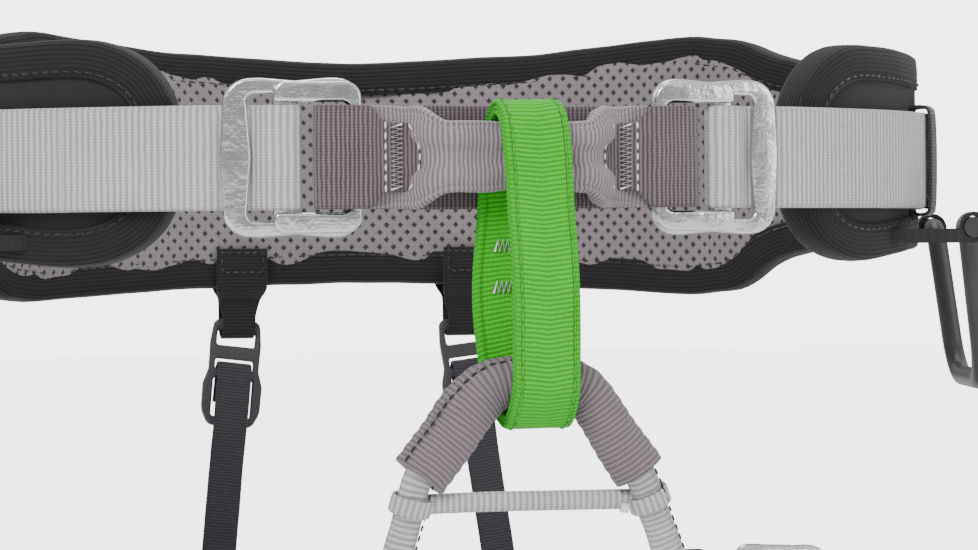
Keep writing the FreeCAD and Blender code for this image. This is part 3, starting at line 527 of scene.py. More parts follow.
# %% Materials: the list
GREY = (0.42, 0.415, 0.43)
TAUPE = (0.105, 0.082, 0.092)
# A lighter copy of the taupe, as painted light on the folded band.
LIT_TAUPE = (0.20, 0.172, 0.186)
GREEN = (0.035, 0.40, 0.012)
M = {
    "grey": webbing("grey_webbing", GREY, rib=1.9, width=30, ribs_deep=0.00032),
    "grey_narrow": webbing("narrow_grey_webbing", GREY, rib=1.8, width=20, ribs_deep=0.0003),
    "taupe": webbing("taupe_webbing", TAUPE, rib=1.27, width=30, ribs_deep=0.0003, valley_shade=0.3, crest_light=1.5,
                     sheen=0.15),
    # The folded band's taupe webbing, made lighter as painted light.
    "lit_taupe": webbing("lit_taupe_webbing", LIT_TAUPE, rib=1.27, width=40, ribs_deep=0.0002, valley_shade=0.5,
                          crest_light=1.35, sheen=0.2),
    "green": webbing("green_webbing", GREEN, rib=1.35, width=19.2, edge=0.7, ribs_deep=0.00022, chevron=0.12,
                     lines=(-7.7, 7.7), sheen=0.05),
    # The second colour is painted shade for the mesh holes.
    "lining": spacer_mesh("mesh_lining", (0.185, 0.163, 0.174), (0.03, 0.027, 0.03)),
    "shell": plain_cloth("shell_cloth", (0.02, 0.02, 0.022), sheen=0.12),
    "inner_lobe": plain_cloth("inner_cloth", (0.055, 0.052, 0.058), pitch=1.3),
    "binding": rib_tape("black_binding", (0.011, 0.011, 0.0125), pitch=1.3),
    "tape": webbing("black_tape", (0.014, 0.014, 0.015), rib=1.1, width=18, ribs_deep=0.00016, sheen=0.12),
    "elastic": webbing("dark_elastic", (0.035, 0.035, 0.04), rib=1.0, width=12, ribs_deep=0.00018, sheen=0.2),
    "sleeve": webbing("taupe_sleeve", (0.17, 0.142, 0.158), rib=1.5, width=60, ribs_deep=0.0003, sheen=0.15),
    "black_cloth": plain_cloth("black_cloth", (0.02, 0.02, 0.022), pitch=0.8),
    "white": thread("white_thread", (0.85, 0.84, 0.8)),
    "black_thread": thread("black_thread", (0.02, 0.02, 0.02)),
    "green_thread": thread("green_thread", (0.06, 0.36, 0.02)),
    "alloy": alloy("polished_alloy"),
    "plastic": plastic("black_plastic", (0.022, 0.022, 0.024)),
    "tube": plastic("black_tube", (0.022, 0.022, 0.024), rough=0.32),
}
print("materials:", len(M))

# %% [markdown]
# ## Padded pieces
# The belt and the leg loops are foam laminated between a mesh lining and a shell cloth. A bevelled slab
# would look moulded. So each pad starts as its own CAD foam, lining and shell, is remeshed evenly, and
# is then blown up a little by Blender's cloth pressure, which crowns its faces between the edges. A
# point may move only a little, so that the webbing still lies outside it.


# %% Padded pieces: inflate the foam cores by cloth simulation
def pad_core(name, nodes, voxel):
    """One even skin round several CAD nodes."""
    copies = []
    for node in nodes:
        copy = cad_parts[node].copy()
        copy.data = copy.data.copy()
        copy.parent = None
        copy.matrix_world = Matrix.Identity(4)
        bpy.context.collection.objects.link(copy)
        copies.append(copy)
    with bpy.context.temp_override(active_object=copies[0], selected_editable_objects=copies):
        bpy.ops.object.join()
    core = copies[0]
    core.hide_render = core.hide_viewport = False
    remesh = core.modifiers.new("remesh", "REMESH")
    remesh.mode = "VOXEL"
    remesh.voxel_size = voxel
    relax = core.modifiers.new("relax", "SMOOTH")
    relax.factor = 0.5
    relax.iterations = 2
    graph = bpy.context.evaluated_depsgraph_get()
    mesh = bpy.data.meshes.new_from_object(core.evaluated_get(graph))
    bpy.data.objects.remove(core)
    obj = bpy.data.objects.new(name, mesh)
    bpy.context.collection.objects.link(obj)
    return obj


def inflate(obj, cap, pressure=4.0, last=18):
    """Cloth pressure without gravity. cap maps a point and its way to how far it may move, in metres."""
    rest = np.array([v.co for v in obj.data.vertices])
    normals = np.array([v.normal for v in obj.data.vertices])
    cloth = obj.modifiers.new("cloth", "CLOTH")
    cloth.settings.use_pressure = True
    cloth.settings.uniform_pressure_force = pressure
    cloth.settings.effector_weights.gravity = 0
    cloth.settings.tension_stiffness = 20
    cloth.settings.compression_stiffness = 20
    cloth.settings.bending_stiffness = 4
    cloth.point_cache.frame_start = 1
    cloth.point_cache.frame_end = last
    scene = bpy.context.scene
    for number in range(1, last + 1):
        scene.frame_set(number)
    graph = bpy.context.evaluated_depsgraph_get()
    moved = np.array([v.co for v in obj.evaluated_get(graph).data.vertices])
    scene.frame_set(1)
    obj.modifiers.remove(cloth)
    shift = moved - rest
    far = np.linalg.norm(shift, axis=1)
    allowed = np.array([cap(Vector(p), Vector(n)) for p, n in zip(rest, normals)])
    scale = np.minimum(1.0, allowed / np.maximum(far, 1e-9))
    result = rest + shift * scale[:, None]
    obj.data.vertices.foreach_set("co", result.ravel())
    obj.data.update()
    print(f"{obj.name}: moved up to {far.max() * 1000:.1f} mm, kept to {(far * scale).max() * 1000:.1f} mm")
    return obj


def refine(obj, levels=1):
    """Subdivides a finished pad and keeps it as a plain mesh."""
    sub = obj.modifiers.new("finer", "SUBSURF")
    sub.levels = sub.render_levels = levels
    graph = bpy.context.evaluated_depsgraph_get()
    mesh = bpy.data.meshes.new_from_object(obj.evaluated_get(graph))
    obj.modifiers.clear()
    obj.data = mesh
    mesh.shade_smooth()
    return obj


def lay_out(obj, to_flat):
    """Stores where each point lies on the flat cloth, in metres, for the mesh pattern."""
    layer = obj.data.attributes.new("lay", "FLOAT_VECTOR", "POINT")
    values = np.array([(*to_flat(v.co), 0.0) for v in obj.data.vertices])
    layer.data.foreach_set("vector", values.ravel())
    return obj


def paint_faces(obj, materials, choose):
    """Several materials on one piece, chosen by face."""
    obj.data.materials.clear()
    for material in materials:
        obj.data.materials.append(material)
    for face in obj.data.polygons:
        face.material_index = choose(face.center, face.normal)


def padded_piece(name, cad_name, voxel, cap, to_flat, body, materials, choose):
    """A whole pad: its core, the cloth pressure, the flat layout, and what it stands for."""
    nodes = [f"{cad_name}_{layer}" for layer in ("foam", "lining", "shell")]
    pad = pad_core(name, nodes, voxel)
    refine(inflate(pad, cap))
    lay_out(pad, to_flat)
    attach(pad, body)
    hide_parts(*nodes)
    paint_faces(pad, materials, choose)


# %% Padded pieces: the waist pad
OUTER_CROWN, WAIST_CROWN, LEG_CROWN = 0.0005, 0.002, 0.0018
FACES_OUT = 0.2
LOBE_Y = -0.045


def waist_way(p, n):
    """How far a surface faces away from the waist: 1 straight out, -1 straight in."""
    wide, deep = WAIST_WIDE * MM, WAIST_DEEP * MM
    return Vector((p.x / wide**2, p.y / deep**2, 0)).normalized().dot(n)


def waist_cap(p, n):
    """The body side may crown 2 mm; the outside only 0.5 mm, under the webbing."""
    return OUTER_CROWN if waist_way(p, n) > FACES_OUT else WAIST_CROWN


def waist_flat(co):
    mean_radius = 0.126
    return math.atan2(co.x / (WAIST_WIDE * MM), co.y / (WAIST_DEEP * MM)) * mean_radius, co.z


def waist_side(centre, normal):
    """Shell outside, lining inside, and a closer cloth inside the front lobes."""
    if waist_way(centre, normal) > -FACES_OUT:
        return 1
    return 2 if centre.y < LOBE_Y else 0


padded_piece("waist_pad", "waist", 0.0045, waist_cap, waist_flat, "waist_belt",
             [M["lining"], M["shell"], M["inner_lobe"]], waist_side)

# %% Padded pieces: the leg pads
LEG_TILT = 24
LEG_X, LEG_Y, LEG_Z = 98, -8, -170


def leg_matrix(side):
    """From the leg loop's own level plane to its tilted place."""
    return Matrix.Translation(Vector((side * LEG_X, LEG_Y, LEG_Z))) @ Matrix.Rotation(
        math.radians(-LEG_TILT), 4, "X")


for name, side in SIDES:
    into = leg_matrix(side).inverted()

    def leg_way(p, n, into=into):
        local = into @ (p * 1000)
        return Vector((local.x, local.y, 0)).normalized().dot(into.to_3x3() @ n)

    def leg_cap(p, n):
        return OUTER_CROWN if leg_way(p, n) > FACES_OUT else LEG_CROWN

    def leg_flat(co, into=into):
        local = into @ (co * 1000)
        mean_radius = 0.083
        return math.atan2(local.x, local.y) * mean_radius, local.z * MM

    padded_piece(name + "_leg_pad", name + "_leg", 0.004, leg_cap, leg_flat, "leg_assembly",
                 [M["lining"], M["shell"]], lambda c, n: 1 if leg_way(c, n) > -FACES_OUT else 0)

# %% [markdown]
# ## Edge bindings
# A stretch tape is folded round the whole edge of each pad and sewn through. A bevel on the pad's own
# edge would have no step where the tape ends, so the tape is a piece of its own: its path is the pad's
# outline on the middle of the foam, its section is a U, and its ribs run along the edge.


# %% Edge bindings: the waist pad's outline
FOAM_WIDE, FOAM_DEEP = 155.4, 100.4
EDGE_X = (0, 22, 66, 114, 128, 136.5, 144.5, 149.5)
TOP_Z = (36.5, 37.2, 39.6, 45.0, 42.8, 37.6, 34.6, 34)
BOTTOM_Z = (-38, -38.4, -39.7, -43.0, -40.8, -31.6, -28.6, -28)
LOBE_X, LOBE_ROUND = 118, 26


def foam_front(x):
    """The front of the foam's middle ellipse."""
    return -FOAM_DEEP * math.sqrt(1 - (x / FOAM_WIDE) ** 2)


def waist_outline():
    """Points on the middle of the foam round the whole pad: along the top to the right, and back below."""
    right = []
    for angle in range(0, 91, 3):
        x = FOAM_WIDE * math.sin(math.radians(angle))
        y = FOAM_DEEP * math.cos(math.radians(angle))
        right.append((x, y, float(np.interp(x, EDGE_X, TOP_Z)), float(np.interp(x, EDGE_X, BOTTOM_Z))))
    for x in (153, 149, 145, 141, 137, 132, 127, 122, LOBE_X):
        flare = min(1, max(0, (145.5 - x) / 21.5))
        right.append((x, foam_front(x), 34 + flare, -28 - 3 * flare))
    half = [(x, y, top) for x, y, top, bottom in right]
    for middle, way, turns in ((9, 1, range(15, 91, 15)), (-5, -1, range(90, 14, -15))):
        for turn in turns:
            x = LOBE_X - LOBE_ROUND * math.sin(math.radians(turn))
            half.append((x, foam_front(x), middle + way * LOBE_ROUND * math.cos(math.radians(turn))))
    half += [(x, y, bottom) for x, y, top, bottom in reversed(right)]
    return half + [(-x, y, z) for x, y, z in reversed(half[1:-1])]


# %% Edge bindings: the folded tape
def u_section(half, deep, tape):
    """A folded tape: (across the pad, in from the edge), and how far along the fold each point lies."""
    outer = [(-half, deep), (-half, deep * 0.72), (-half, deep * 0.45)]
    for turn in (155, 130, 110, 90, 70, 50, 25):
        c, s = math.cos(math.radians(turn)), math.sin(math.radians(turn))
        outer.append((half * math.copysign(abs(c) ** 0.62, c), 3.4 * (1 - abs(s) ** 0.62)))
    outer += [(half, deep * 0.45), (half, deep * 0.72), (half, deep)]
    inner = [(a * (half - tape) / half, o + (tape if 0 < i < len(outer) - 1 and o < 3.4 else 0))
             for i, (a, o) in enumerate(outer)]
    along = [0.0]
    for (a0, o0), (a1, o1) in zip(outer, outer[1:]):
        along.append(along[-1] + math.hypot(a1 - a0, o1 - o0))
    return outer + list(reversed(inner)), along + list(reversed(along)) + [0.0]


def binding(name, outline, radial, half, deep, body, node):
    """Sweeps the folded tape round an outline."""
    tape_thick = 0.9
    path = smooth_path(outline, 2.6, closed=True)
    section, along = u_section(half, deep, tape_thick)
    tape = sweep(name, path, [radial(p) for p in path], section, closed=True, v_of=lambda j: along[j])
    wear(tape, 0.35, 55)
    finish(tape, body, "black_binding", M["binding"], node)
    return path


def waist_radial(p):
    return Vector((p.x / FOAM_WIDE**2, p.y / FOAM_DEEP**2, 0)).normalized()


WAIST_HALF = 6.35
waist_path = binding("waist_edge_binding", waist_outline(), waist_radial, WAIST_HALF, 11.2,
                     "waist_belt", "waist_binding")


# %% Edge bindings: the leg pads
def leg_outline():
    """The leg pad's outline in the leg's own frame, about a circle on the middle of the foam. Its top edge is
    an arc that falls by a fixed drop towards the ends."""
    radius, half_angle = 86.3, 87.5
    middle_height, drop = 31, 11
    edge = 96.3 * math.sin(math.radians(88))
    arc_radius = (edge**2 + drop**2) / (2 * drop)

    def height(x):
        return middle_height - (arc_radius - math.sqrt(arc_radius**2 - x**2))

    turns = [half_angle * (1 - i / 16) for i in range(33)]
    top = [(radius * math.sin(math.radians(t)), radius * math.cos(math.radians(t))) for t in reversed(turns)]
    upper = [(x, y, height(x)) for x, y in top]
    lower = [(x, y, -z) for x, y, z in reversed(upper)]
    down = [(upper[-1][0], upper[-1][1], z) for z in (14, 5, -5, -14)]
    rise = [(upper[0][0], upper[0][1], z) for z in (-14, -5, 5, 14)]
    return upper + down + lower + rise


for name, side in SIDES:
    matrix = leg_matrix(side)
    outline = [matrix @ Vector(p) for p in leg_outline()]
    middle, axis = matrix.translation, matrix.to_3x3() @ Vector((0, 0, 1))

    def leg_radial(p, middle=middle, axis=axis):
        away = p - middle
        return (away - axis * away.dot(axis)).normalized()

    binding(name + "_leg_edge_binding", outline, leg_radial, 5.2, 8.4, "leg_assembly", name + "_leg_binding")

# %% [markdown]
# ## Stitches
# Rows of lockstitch hold the tapes, and dense zigzags called bar tacks hold the load. A bump would show
# neither from the side. So each stitch is a tiny spindle set on points along a line by a Geometry Nodes
# tree, with the stitch's length, gap and thickness as inputs, and a second tree turns a zigzag into
# round thread. Both results are then kept as plain meshes.


# %% Stitches: the start of a Geometry Nodes tree
def tree(name, inputs):
    """An empty Geometry Nodes tree with geometry in and out, and number inputs by name."""
    group = bpy.data.node_groups.new(name, "GeometryNodeTree")
    group.interface.new_socket("Geometry", in_out="INPUT", socket_type="NodeSocketGeometry")
    group.interface.new_socket("Geometry", in_out="OUTPUT", socket_type="NodeSocketGeometry")
    for label, value in inputs.items():
        socket = group.interface.new_socket(label, in_out="INPUT", socket_type="NodeSocketFloat")
        socket.default_value = value
    group.interface.new_socket("Thread", in_out="INPUT", socket_type="NodeSocketMaterial")
    return group, group.nodes.new("NodeGroupInput"), group.nodes.new("NodeGroupOutput")


def node(group, kind, links=(), numbers=(), **settings):
    """Adds a node: its settings, then its numbers and its links by the name or number of the socket."""
    made = group.nodes.new(kind)
    for key, value in settings.items():
        setattr(made, key, value)
    for socket, value in dict(numbers).items():
        made.inputs[socket].default_value = value
    for socket, output in dict(links).items():
        group.links.new(output, made.inputs[socket])
    return made


def coloured(group, shape, source, target):
    """Ends a tree: real geometry, smooth, in the thread's material."""
    real = node(group, "GeometryNodeRealizeInstances", {"Geometry": shape})
    smooth = node(group, "GeometryNodeSetShadeSmooth", {"Geometry": real.outputs["Geometry"]})
    colour = node(group, "GeometryNodeSetMaterial", {"Geometry": smooth.outputs["Geometry"],
                                                     "Material": source.outputs["Thread"]})
    group.links.new(colour.outputs["Geometry"], target.inputs["Geometry"])
    return group


# %% Stitches: a row of spindles, and round thread
def stitch_tree():
    """A spindle on every point of the line, its long axis along the line."""
    group, source, target = tree("stitch row", {"Length": 0.0024, "Gap": 0.0012, "Radius": 0.0003})
    given = source.outputs
    curve = node(group, "GeometryNodeMeshToCurve", {"Mesh": given["Geometry"]})
    pitch = node(group, "ShaderNodeMath", {0: given["Length"], 1: given["Gap"]})
    spaced = node(group, "GeometryNodeResampleCurve",
                  {"Curve": curve.outputs["Curve"], "Length": pitch.outputs[0]}, mode="LENGTH")
    ball = node(group, "GeometryNodeMeshUVSphere", numbers={"Segments": 6, "Rings": 5, "Radius": 1.0})
    half = node(group, "ShaderNodeMath", {0: given["Length"]}, {1: 0.55}, operation="MULTIPLY")
    size = node(group, "ShaderNodeCombineXYZ",
                {"X": given["Radius"], "Y": given["Radius"], "Z": half.outputs[0]})
    tangent = node(group, "GeometryNodeInputTangent")
    turn = node(group, "FunctionNodeAlignRotationToVector", {"Vector": tangent.outputs[0]}, axis="Z")
    placed = node(group, "GeometryNodeInstanceOnPoints", {
        "Points": spaced.outputs["Curve"], "Instance": ball.outputs["Mesh"],
        "Rotation": turn.outputs["Rotation"], "Scale": size.outputs["Vector"]})
    return coloured(group, placed.outputs["Instances"], source, target)


def thread_tree():
    """A round thread along the line."""
    group, source, target = tree("thread", {"Radius": 0.0003})
    curve = node(group, "GeometryNodeMeshToCurve", {"Mesh": source.outputs["Geometry"]})
    circle = node(group, "GeometryNodeCurvePrimitiveCircle", {"Radius": source.outputs["Radius"]},
                  {"Resolution": 6})
    skin = node(group, "GeometryNodeCurveToMesh",
                {"Curve": curve.outputs["Curve"], "Profile Curve": circle.outputs["Curve"]},
                {"Fill Caps": True})
    return coloured(group, skin.outputs["Mesh"], source, target)


STITCH, THREAD = stitch_tree(), thread_tree()
print("trees:", STITCH.name, "and", THREAD.name)


# %% Stitches: the tools that use the trees
def sewn(name, lines, group, material, body, values):
    """Runs one of the trees on a set of lines (millimetres) and keeps the result."""
    points, edges = [], []
    for line in lines:
        start = len(points)
        points += [Vector(p) * MM for p in line]
        edges += [(start + i, start + i + 1) for i in range(len(line) - 1)]
    mesh = bpy.data.meshes.new(name + "_line")
    mesh.from_pydata([tuple(p) for p in points], edges, [])
    obj = bpy.data.objects.new(name, mesh)
    bpy.context.collection.objects.link(obj)
    nodes = obj.modifiers.new("thread", "NODES")
    nodes.node_group = group
    for item in group.interface.items_tree:
        if item.item_type == "SOCKET" and item.in_out == "INPUT" and item.name != "Geometry":
            nodes[item.identifier] = material if item.name == "Thread" else values[item.name]
    obj.update_tag()
    bpy.context.view_layer.update()
    graph = bpy.context.evaluated_depsgraph_get()
    done = bpy.data.meshes.new_from_object(obj.evaluated_get(graph))
    obj.modifiers.clear()
    obj.data = done
    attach(obj, body)
    return obj


def stitch_rows(name, lines, body, thread_name="black_thread", length=2.4, gap=1.1,
                radius=0.32):
    return sewn(name, lines, STITCH, M[thread_name], body,
                {"Length": length * MM, "Gap": gap * MM, "Radius": radius * MM})


def thread_lines(name, lines, body, thread_name="white", radius=0.34):
    return sewn(name, lines, THREAD, M[thread_name], body, {"Radius": radius * MM})


def beside_edge(path, radial, inward, out):
    """A closed line that runs a fixed way in from an edge path, and out from the middle of the foam."""
    line = []
    count = len(path)
    for i, p in enumerate(path):
        t = (path[(i + 1) % count] - path[i - 1]).normalized()
        n = radial(p)
        line.append(p + n.cross(t).normalized() * inward + n * out)
    return line + line[:1]


def zigzag(centre, across, along, width, height, turns):
    """A bar tack: a dense zigzag, width across and height along, in millimetres."""
    c, a, b = Vector(centre), Vector(across).normalized(), Vector(along).normalized()
    return [c + a * (width / 2 * (1 if i % 2 else -1)) + b * (height * (i / turns - 0.5))
            for i in range(turns + 1)]


proud = WAIST_HALF + 0.1
stitch_rows("waist_binding_stitches",
            [beside_edge(waist_path, waist_radial, 9.6, out) for out in (proud, -proud)], "waist_belt")

# %% [markdown]
# ## Webbing
# The waist webbing lies round the pad, leaves it over the lobes, turns round each buckle's grip bar and
# comes back on itself as a tail. One long strap would tear when a buckle tilts, so it is made in parts:
# the part round the pad rides the belt, and the two front parts are fixed in place.


# %% Webbing: the buckle's own plan
class Buckle:
    """Plan of a double-back buckle: u away from the hinge, n outwards, in millimetres."""

    def __init__(self, at, along, outwards, thick, ratio):
        self.at, self.along, self.outwards, self.thick, self.ratio = at, along, outwards, thick, ratio
        plate_thick, gap = 2.2, 0.25
        self.tail_n = -plate_thick - gap - thick / 2
        self.strand_n = self.tail_n - thick - gap
        self.loop = math.hypot(2, 2.3) + 0.35 + thick / 2

    def place(self, u, n):
        return (self.at[0] + self.along[0] * u + self.outwards[0] * n,
                self.at[1] + self.along[1] * u + self.outwards[1] * n)

    def wrap(self):
        """Main strand, turn round the grip bar, tail: from split to split."""
        k, middle = self.ratio, -1.1
        radius = 1.1 + 0.25 + self.thick / 2
        turn, far, split = 17.5 * k + 1.1, 23.5 * k, 31.5 * k - 1
        bar_near = 40.5 * k - 2 - 9 * k
        path = [(split + 1, self.strand_n)] + ease((split - 1.3, self.strand_n), (far - 2, middle - radius))
        path += [(turn - radius * math.sin(math.radians(a)), middle - radius * math.cos(math.radians(a)))
                 for a in range(0, 181, 30)]
        path += ease((far - 0.8, middle + radius), (bar_near + 0.2, self.tail_n))
        path.append((split + 1, self.tail_n))
        return [self.place(u, n) for u, n in path]


YAW = math.radians(6)
waist_buckles = {name: Buckle((side * 45.5, -102), (side * math.cos(YAW), math.sin(YAW)),
                              (side * math.sin(YAW), -math.cos(YAW)), 2.0, 1.0) for name, side in SIDES}
UP = (0, 0, 1)
STRAND, TAIL = 12.85, 15.1
WEBBING = strap_section(30, 2.0, 10)

# %% Webbing: round the waist pad
turns = range(-131, 132, 4)
pad_path = smooth_path(flat([ellipse_point(STRAND, a) for a in turns]), 2.4)
KEEPER = [(-3.1, -15.8), (-2.6, -16.6), (2.6, -16.6), (3.1, -15.8), (3.1, 15.8), (2.6, 16.6), (-2.6, 16.6),
          (-3.1, 15.8)]
round_pad = sweep("waist_webbing", pad_path, UP, WEBBING)
wear(round_pad, 0.25, 30)
finish(round_pad, "waist_belt", "grey_webbing", M["grey"], "waist_webbing")
pad_length = sum((b - a).length for a, b in zip(pad_path, pad_path[1:]))
for name, side in SIDES:
    buckle = waist_buckles[name]
    main = [ellipse_point(STRAND, side * a) for a in (131, 135, 139)]
    main += [buckle.place(43.5, buckle.strand_n - 0.6), buckle.place(36, buckle.strand_n)]
    back = [buckle.place(36, buckle.tail_n), buckle.place(43.5, buckle.tail_n - 0.6)]
    back += [ellipse_point(TAIL, side * a) for a in (139, 135, 131)]
    path = smooth_path(flat(main + buckle.wrap() + back), 1.2)
    front = sweep(name + "_front_webbing", path, UP, WEBBING, begin=1.2)
    finish_bent(front, M["grey"], ("waist_belt", name + "_waist_buckle"),
                name + "_waist_webbing_wrap")
    tail_path = smooth_path(flat([ellipse_point(TAIL, side * a) for a in range(131, 98, -4)]), 2.4)
    tail = sweep(name + "_webbing_tail", tail_path, UP, WEBBING)
    finish(tail, "waist_belt", "grey_webbing", M["grey"], name + "_webbing_tail")
    ring_at = Vector((*ellipse_point((STRAND + TAIL) / 2, side * 112), 0))
    ring_to = Vector((*ellipse_point((STRAND + TAIL) / 2, side * 113), 0))
    way = (ring_to - ring_at).normalized()
    out = Vector((way.y, -way.x, 0))
    ring = [ring_at + out * a + Vector((0, 0, b)) for a, b in KEEPER]
    keeper = sweep(name + "_tail_keeper", smooth_path(ring, 1.6, closed=True), way, strap_section(10, 1.1, 4),
                   closed=True)
    finish(keeper, "waist_belt", "black_elastic", M["elastic"], name + "_tail_keeper")
print("waist webbing:", round(pad_length), "mm round the pad")

# %% [markdown]
# ## Tie-in bridge
# A flat backing strap is looped round the end bars of both buckles. In front of it a second strap is
# folded to a narrow rope-like band that carries the belay loop. A cloth simulation could fold it, but
# the fold would never come out the same twice, so its section changes along the path instead: flat,
# then rolled in at both edges. It is made in two halves that meet at the middle.

# %% Tie-in bridge: flat backing
HALF_LOOP = waist_buckles["left"].loop
BACK = -(102 - HALF_LOOP) + 0.1
backing = [(x, BACK) for x in (-31, -20, 0, 20, 31)]
band = sweep("tie_in_backing", smooth_path(flat(backing), 2.0), UP, WEBBING)
wear(band, 0.15, 60)
finish(band, "waist_belt", "taupe_webbing", M["taupe"], "tie_in_backing", "tie_in_bar_tacks")



# %% Tie-in bridge: sections that change along the strap
def fold_section(width, thick):
    """A band whose two edges are rolled in, so that they stand prouder than the middle."""
    w = width / 2 - thick / 2
    cells = 22
    across = [-w + 2 * w * i / cells for i in range(cells + 1)]

    def proud(a):
        roll = math.exp(-(((abs(a) - w * 0.66) / (w * 0.36)) ** 4))
        return thick / 2 * (0.36 + 0.64 * roll)

    top = [(a, proud(a)) for a in across]
    cap = [(w + thick / 2 * math.sin(math.radians(t)), thick / 2 * math.cos(math.radians(t)))
           for t in (40, 90, 140)]
    low = [(a, -proud(a) * 0.8) for a in reversed(across)]
    tail = [(-a, -b) for a, b in cap]
    return top + cap + low + tail


def eased(t):
    t = max(0.0, min(1.0, t))
    return t * t * (3 - 2 * t)


def nearest(path, share):
    return path[min(len(path) - 1, round(share * (len(path) - 1)))]


def tapered(path):
    """Full width round the end bar, narrower where it is sewn down, with a rounded end."""
    width, thick = 29.6, 2.0

    def section(share):
        if round(share * (len(path) - 1)) < len(path) * 0.5:
            return strap_section(width, thick, 10)
        x = abs(nearest(path, share).x)
        taper, close = eased((42.5 - x) / 5.5), max(0.0, (30.0 - x) / 3.2)
        return strap_section(width - 9.6 * taper - 7.0 * close ** 2, thick, 10)
    return section


def rolled(path):
    """Flat behind the tab, then rolled in at both edges, and narrow where it carries the loop."""
    def section(share):
        x = nearest(path, share).x
        roll, narrow = eased((41 - abs(x)) / 9), eased((28.2 - abs(x)) / 8.0)
        held = math.exp(-(((x - 4) / 12) ** 4))
        pleat = math.exp(-(((abs(x) - 26.5) / 2.4) ** 2))
        width = 29.4 - 8.6 * narrow - 1.2 * held + 0.8 * pleat
        return fold_section(width, 2.0 + 3.2 * roll + 1.2 * pleat)
    return section


# %% Tie-in bridge: round the end bars, then folded in front, in two halves
END = ((39.5, -105.6), (36, -104.5), (32, -103.9), (29, -104.4), (26.8, -105.6))
FOLD = ((41.5, -102.2), (38.5, -101.6), (36, -101.5), (33, -101.6), (30, -102.6), (27, -105.0),
        (23.5, -109.0), (20, -111.2), (16, -111.6))
for name, side in SIDES:
    buckle = waist_buckles[name]
    half = [(side * x, BACK) for x in (30, 34, 38, 41)] + [buckle.place(u, -HALF_LOOP) for u in (0.5, 4)]
    half += [buckle.place(u, n) for u, n in reversed(arc(6.7, 0, HALF_LOOP))]
    half += [buckle.place(u, HALF_LOOP) for u in (4, 0, -2.5)]
    half += [(side * x, y) for x, y in END]
    path = smooth_path(flat(half), 0.9)
    end = sweep(name + "_tie_in_end", path, UP, tapered(path))
    wear(end, 0.25, 90)
    finish(end, "waist_belt", "taupe_webbing", M["taupe"])
    half = [(side * x, y) for x, y in FOLD]
    half += [(x, FOLD[-1][1]) for x in ((11, 5) if side > 0 else (-11, -5, 0, 5))]
    path = smooth_path(flat(half), 0.9)
    fold = sweep(name + "_tie_in_fold", path, UP, rolled(path))
    wear(fold, 0.45, 110)
    # The lighter taupe here is painted light on the folds.
    finish_bent(fold, M["lit_taupe"], ("waist_belt", "belay_loop"),
                "tie_in_bridge")
    tack = zigzag((side * 34.2, -105.45, 0), (1, 0, 0.1), (0, 0, 1), 3.3, 18.4, 27)
    thread_lines(name + "_tie_in_bar_tack", [tack], "waist_belt", radius=0.33)
    rows = [[(side * 37.6, -106.15, z) for z in range(-9, 10, 2)],
            [(side * (27.6 + 2.6 * (abs(z) / 8.5) ** 2.5), -106.3 + 0.5 * (abs(z) / 8.5) ** 2, z)
             for z in (-8.5, -6.5, -4, 0, 4, 6.5, 8.5)]]
    stitch_rows(name + "_tie_in_stitches", rows, "waist_belt", "white", 1.9, 0.9, 0.32)

# %% [markdown]
# ## Belay loop
# The belay loop is three layers of dense webbing sewn into one endless loop, with a line of stitches
# inside each selvedge and two pale bar tacks across the rear strand. One thick band would hide the
# layers at its edges, so three closed bands are swept along one path moved in and out.

# %% Belay loop
LOOP_Y, LOOP_X = -111.6, 5
LOOP_HALF = [(0, 14), (5.2, 10.8), (7.6, 2), (9.2, -14), (12.6, -35), (12.4, -55), (9.6, -68)]
FRONT_X, REAR_X = (2.5, 3.2, 3.6, 4.0, 4.3, 4.5, 4.8), (2.5, 2.0, 1.2, 0.4, -0.4, 0.6, 2.6)
loop_guides = [(x, LOOP_Y - a, z) for x, (a, z) in zip(FRONT_X, LOOP_HALF)] + [(4.8, LOOP_Y, -75.7)]
loop_guides += [(x, LOOP_Y + a, z) for x, (a, z) in reversed(list(zip(REAR_X, LOOP_HALF))[1:])]
loop_middle = smooth_path(loop_guides, 1.5, closed=True)


def loop_layer(out):
    """The loop's path moved outwards."""
    found = []
    count = len(loop_middle)
    for i, p in enumerate(loop_middle):
        t = (loop_middle[(i + 1) % count] - loop_middle[i - 1]).normalized()
        found.append(p + Vector((1, 0, 0)).cross(t) * out)
    return found


LAYER, ROW_X = 1.52, 7.7
sign = 1 if loop_layer(1)[0].z > loop_middle[0].z else -1
for number, (out, width) in enumerate(((1.5, 19.2), (0.0, 18.7), (-1.5, 19.2))):
    layer = sweep(f"belay_loop_layer_{number + 1}", loop_layer(sign * out), (1, 0, 0),
                  strap_section(width, LAYER, 8), closed=True)
    wear(layer, 0.22, 80)
    finish(layer, "belay_loop", "green_webbing", M["green"])
    if number == 0:
        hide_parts("belay_loop", "belay_loop_bar_tacks")
outer_face = loop_layer(sign * 2.32)
rows = [[p + Vector((x, 0, 0)) for p in outer_face + outer_face[:1]] for x in (-ROW_X, ROW_X)]
stitch_rows("belay_loop_stitches", rows, "belay_loop", "green_thread", 3.0, 0.9, 0.34)
inner_face = [p for p in loop_layer(sign * -2.55) if p.y > LOOP_Y]
tacks = []
for height in (-25.5, -37.5):
    at = min(inner_face, key=lambda p: abs(p.z - height))
    tacks.append(zigzag((0.5, at.y, height), (0.08, 0, 1), (1, 0, 0), 3.5, 10.0, 14))
thread_lines("belay_loop_bar_tack", tacks, "belay_loop", radius=0.36)

# %% [markdown]
# ## Leg bridge
# The strap that joins the leg loops runs up through the belay loop inside a ribbed sleeve, which is
# gathered where the loop holds it and wider to the sides. The gathers could be sculpted, but a section
# that ripples along the path does the same and can be changed later. A thin cross strap keeps the two
# legs together.

